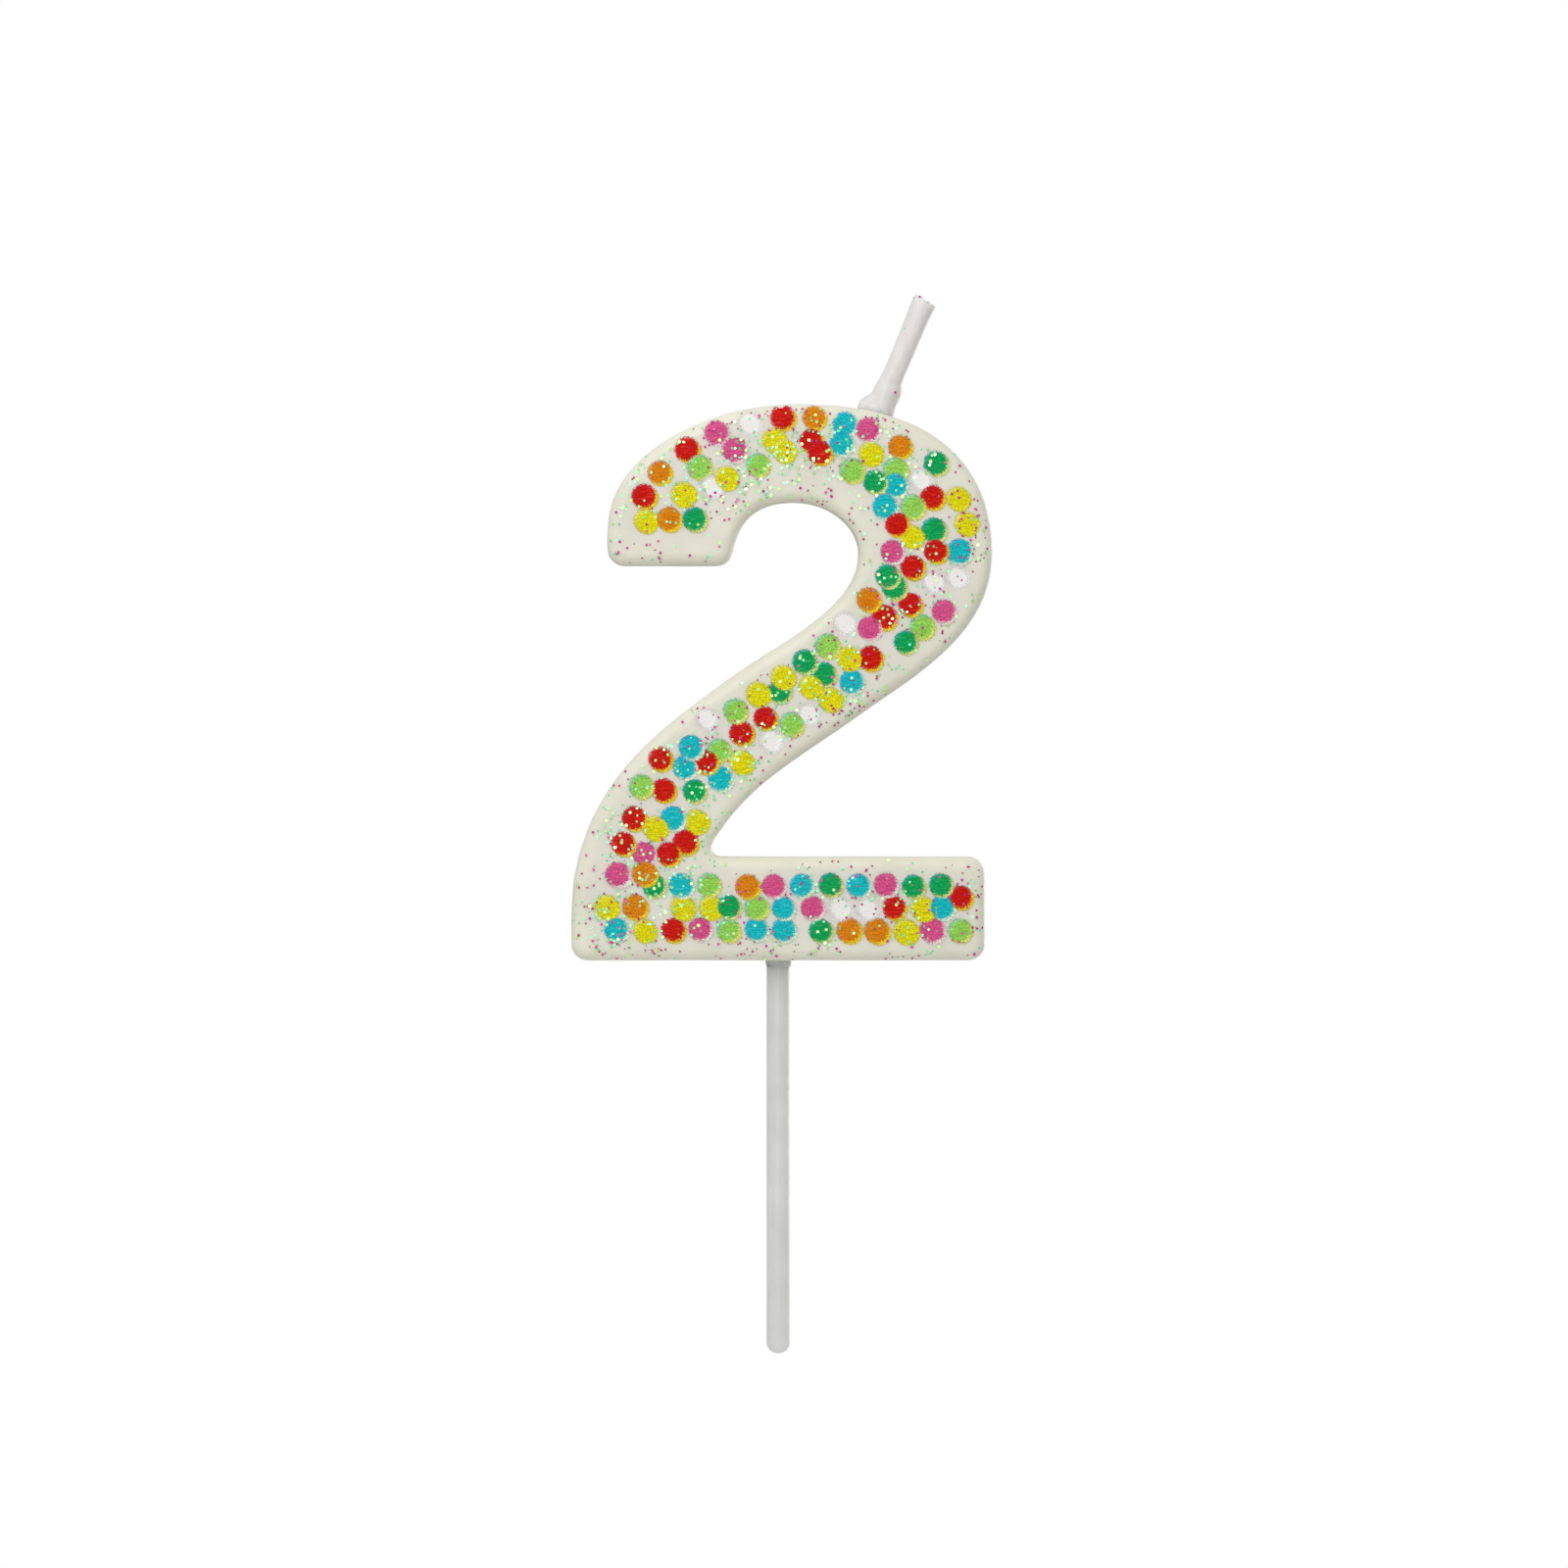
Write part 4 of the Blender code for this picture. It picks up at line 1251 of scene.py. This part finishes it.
def pick_tree():
    """Sweeps a round section with two seam lines down the pick's axis, rounding its tip."""
    tree, given = node_group(
        "Moulded pick", Radius="Float", Length="Float", Seam="Float", Chamfer="Float", Material="Material"
    )
    fine = add_node(tree, "GeometryNodeResampleCurve", {0: given.outputs["Geometry"], "Count": 400})
    along = add_node(tree, "GeometryNodeSplineParameter")
    radius = given.outputs["Radius"]
    total = given.outputs["Length"]
    left = add_node(tree, "ShaderNodeMath", [total, along.outputs["Length"]], operation="SUBTRACT")
    into = add_node(tree, "ShaderNodeMath", [radius, left], operation="SUBTRACT", use_clamp=False)
    past = add_node(tree, "ShaderNodeMath", [into, 0.0], operation="MAXIMUM")
    share = add_node(tree, "ShaderNodeMath", [past, radius], operation="DIVIDE")
    square = add_node(tree, "ShaderNodeMath", [share, share], operation="MULTIPLY")
    rest = add_node(tree, "ShaderNodeMath", [1.0, square], operation="SUBTRACT", use_clamp=True)
    ball = add_node(tree, "ShaderNodeMath", [rest], operation="SQRT")
    cut = add_node(
        tree, "ShaderNodeMath", [along.outputs["Length"], given.outputs["Chamfer"]], operation="SUBTRACT"
    )
    short = add_node(tree, "ShaderNodeMath", [cut, 0.0], operation="MINIMUM")
    worn = add_node(tree, "ShaderNodeMath", [short, radius], operation="DIVIDE")
    size = add_node(tree, "ShaderNodeMath", [ball, worn], operation="ADD")
    profile = add_node(tree, "GeometryNodeCurvePrimitiveCircle", {"Resolution": 48, "Radius": radius})
    spoke = add_node(tree, "GeometryNodeInputPosition")
    unit = add_node(tree, "ShaderNodeVectorMath", [spoke], operation="NORMALIZE")
    axis = add_node(tree, "ShaderNodeSeparateXYZ", [unit])
    side = add_node(tree, "ShaderNodeMath", [axis.outputs["Y"]], operation="ABSOLUTE")
    ridge = add_node(
        tree, "ShaderNodeMapRange", [side, 0.985, 1.0, 0.0, given.outputs["Seam"]],
        interpolation_type="SMOOTHSTEP",
    )
    raised = add_node(tree, "ShaderNodeVectorMath", {0: unit, "Scale": ridge}, operation="SCALE")
    section = add_node(tree, "GeometryNodeSetPosition", {0: profile, "Offset": raised})
    bar = add_node(
        tree, "GeometryNodeCurveToMesh",
        {"Curve": fine, "Profile Curve": section, "Scale": size, "Fill Caps": True},
    )
    end_tree(tree, bar, given.outputs["Material"])
    return tree


class CANDLE_OT_pick(Operator):
    """Moulds the plastic pick with its seams and its round tip"""

    bl_idname = "candle.pick"
    bl_label = "Pick"

    def execute(self, context):
        settings = context.scene.candle_pick
        length = PICK_HIGH.z - PICK_LOW.z
        values = {
            "Radius": PICK_RADIUS, "Length": length, "Seam": settings.seam, "Chamfer": settings.chamfer,
            "Material": natural_polypropylene(settings),
        }
        line = line_object("pick line", [UP * PICK_HIGH.z, UP * PICK_LOW.z])
        pick = grown("moulded_pick", line, pick_tree(), values)
        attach(pick, "pick")
        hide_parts("pick")
        return {"FINISHED"}


# ---- The stage ----


def matt_white(name):
    """Matt white paper: plain and shadowless under soft light, with the faintest tooth."""
    material, tree, shader = new_material(name)
    place = add_node(tree, "ShaderNodeTexCoord")
    tooth = add_node(
        tree, "ShaderNodeTexNoise",
        {"Vector": place.outputs["Object"], "Scale": 1 / (2 * MM), "Detail": 2.0},
    )
    tone = add_node(tree, "ShaderNodeMapRange", [tooth, 0.3, 0.7, 0.84, 0.86])
    set_shader(tree, shader, Base_Color=tone, Roughness=0.95)
    return material


def white_surroundings(settings):
    """A plain white backdrop all round, which lights the candle softly and more from above than below."""
    world = bpy.data.worlds.new("White surroundings")
    world.use_nodes = True
    tree = world.node_tree
    path = add_node(tree, "ShaderNodeLightPath")
    way = add_node(tree, "ShaderNodeTexCoord")
    height = add_node(tree, "ShaderNodeSeparateXYZ", [way.outputs["Generated"]])
    soft = add_node(
        tree, "ShaderNodeMapRange", [height.outputs["Z"], -0.6, 0.4, settings.below, settings.above]
    )
    strength = add_node(tree, "ShaderNodeMapRange", [path.outputs["Is Camera Ray"], 0.0, 1.0, soft, 1.0])
    tree.nodes["Background"].inputs["Color"].default_value = (1, 1, 1, 1)
    tree.links.new(strength.outputs["Result"], tree.nodes["Background"].inputs["Strength"])
    return world


# Where the soft light stands, from the numeral's middle: above, to its left and in front.
KEY_PLACE = Vector((-0.07, -0.19, 0.15))
# Where the fill light stands: far in front, level with the underside and a little to the left.
FILL_PLACE = Vector((-0.06, -0.42, -0.02))
# Where the back light stands: behind and to the right.
BACK_PLACE = Vector((0.24, 0.3, 0.02))


def soft_light(name, watts, width, place, aim):
    """A square area light that points from a place at what it lights."""
    light = bpy.data.lights.new(name, "AREA")
    light.energy = watts
    light.size = width
    made = bpy.data.objects.new(name, light)
    bpy.context.scene.collection.objects.link(made)
    made.location = place
    made.rotation_euler = (aim - place).to_track_quat("-Z", "Y").to_euler()
    made.visible_camera = False
    return made


class CANDLE_OT_stage(Operator):
    """Sets the white floor, the soft light and the level camera in front of the numeral"""

    bl_idname = "candle.stage"
    bl_label = "Stage"

    def execute(self, context):
        settings = context.scene.candle_stage
        low, high = cad_bounds
        middle = (Vector(low) + Vector(high)) / 2
        half = settings.floor_width / 2
        bm = bmesh.new()
        bmesh.ops.create_circle(bm, cap_ends=True, radius=half, segments=96)
        bmesh.ops.translate(bm, verts=bm.verts, vec=(middle.x, middle.y, low[2] - settings.floor_drop))
        floor = add_piece("floor", mesh_from(bm, "floor"), matt_white("Matt white floor"))

        context.scene.world = white_surroundings(settings)
        numeral = (WAX_LOW + WAX_HIGH) / 2
        soft_light("key light", settings.key, settings.key_width, numeral + KEY_PLACE, numeral)
        soft_light("fill light", settings.fill, settings.fill_width, numeral + FILL_PLACE, numeral)
        soft_light("back light", settings.back, settings.fill_width, numeral + BACK_PLACE, numeral)

        aim = Vector((middle.x + settings.aside, WAX_LOW.y / 2, middle.z + settings.rise))
        data = bpy.data.cameras.new("camera")
        data.lens = settings.lens
        data.sensor_width = settings.sensor
        data.dof.use_dof = False
        camera = bpy.data.objects.new("camera", data)
        context.scene.collection.objects.link(camera)
        camera.location = aim + TO_VIEWER * settings.view * settings.lens / settings.sensor
        camera.rotation_euler = (math.radians(90), 0, 0)
        context.scene.camera = camera
        context.scene.view_settings.view_transform = "Standard"
        return {"FINISHED"}


# ---- The add-on ----


class CANDLE_PT_panel(Panel):
    bl_idname = "CANDLE_PT_panel"
    bl_label = "Number Birthday Candle"
    bl_space_type = "VIEW_3D"
    bl_region_type = "UI"
    bl_category = "Candle"

    def draw(self, context):
        for operator, settings in STEPS:
            box = self.layout.box()
            box.operator(operator.bl_idname)
            group = getattr(context.scene, settings)
            for name in group.__annotations__:
                box.prop(group, name)


SETTINGS = {
    "candle_casting": CastingSettings,
    "candle_print": PrintSettings,
    "candle_wick": WickSettings,
    "candle_glitter": GlitterSettings,
    "candle_pick": PickSettings,
    "candle_stage": StageSettings,
}
STEPS = [
    (CANDLE_OT_casting, "candle_casting"),
    (CANDLE_OT_print, "candle_print"),
    (CANDLE_OT_wick, "candle_wick"),
    (CANDLE_OT_glitter, "candle_glitter"),
    (CANDLE_OT_pick, "candle_pick"),
    (CANDLE_OT_stage, "candle_stage"),
]


def register():
    for name, group in SETTINGS.items():
        bpy.utils.register_class(group)
        setattr(bpy.types.Scene, name, PointerProperty(type=group))
    for operator, _ in STEPS:
        bpy.utils.register_class(operator)
    bpy.utils.register_class(CANDLE_PT_panel)


def unregister():
    bpy.utils.unregister_class(CANDLE_PT_panel)
    for operator, _ in reversed(STEPS):
        bpy.utils.unregister_class(operator)
    for name, group in reversed(SETTINGS.items()):
        delattr(bpy.types.Scene, name)
        bpy.utils.unregister_class(group)


def main():
    register()
    bpy.ops.candle.casting()
    bpy.ops.candle.dot_print()
    bpy.ops.candle.wick()
    bpy.ops.candle.glitter()
    bpy.ops.candle.pick()
    bpy.ops.candle.stage()


if __name__ == "__main__":
    main()
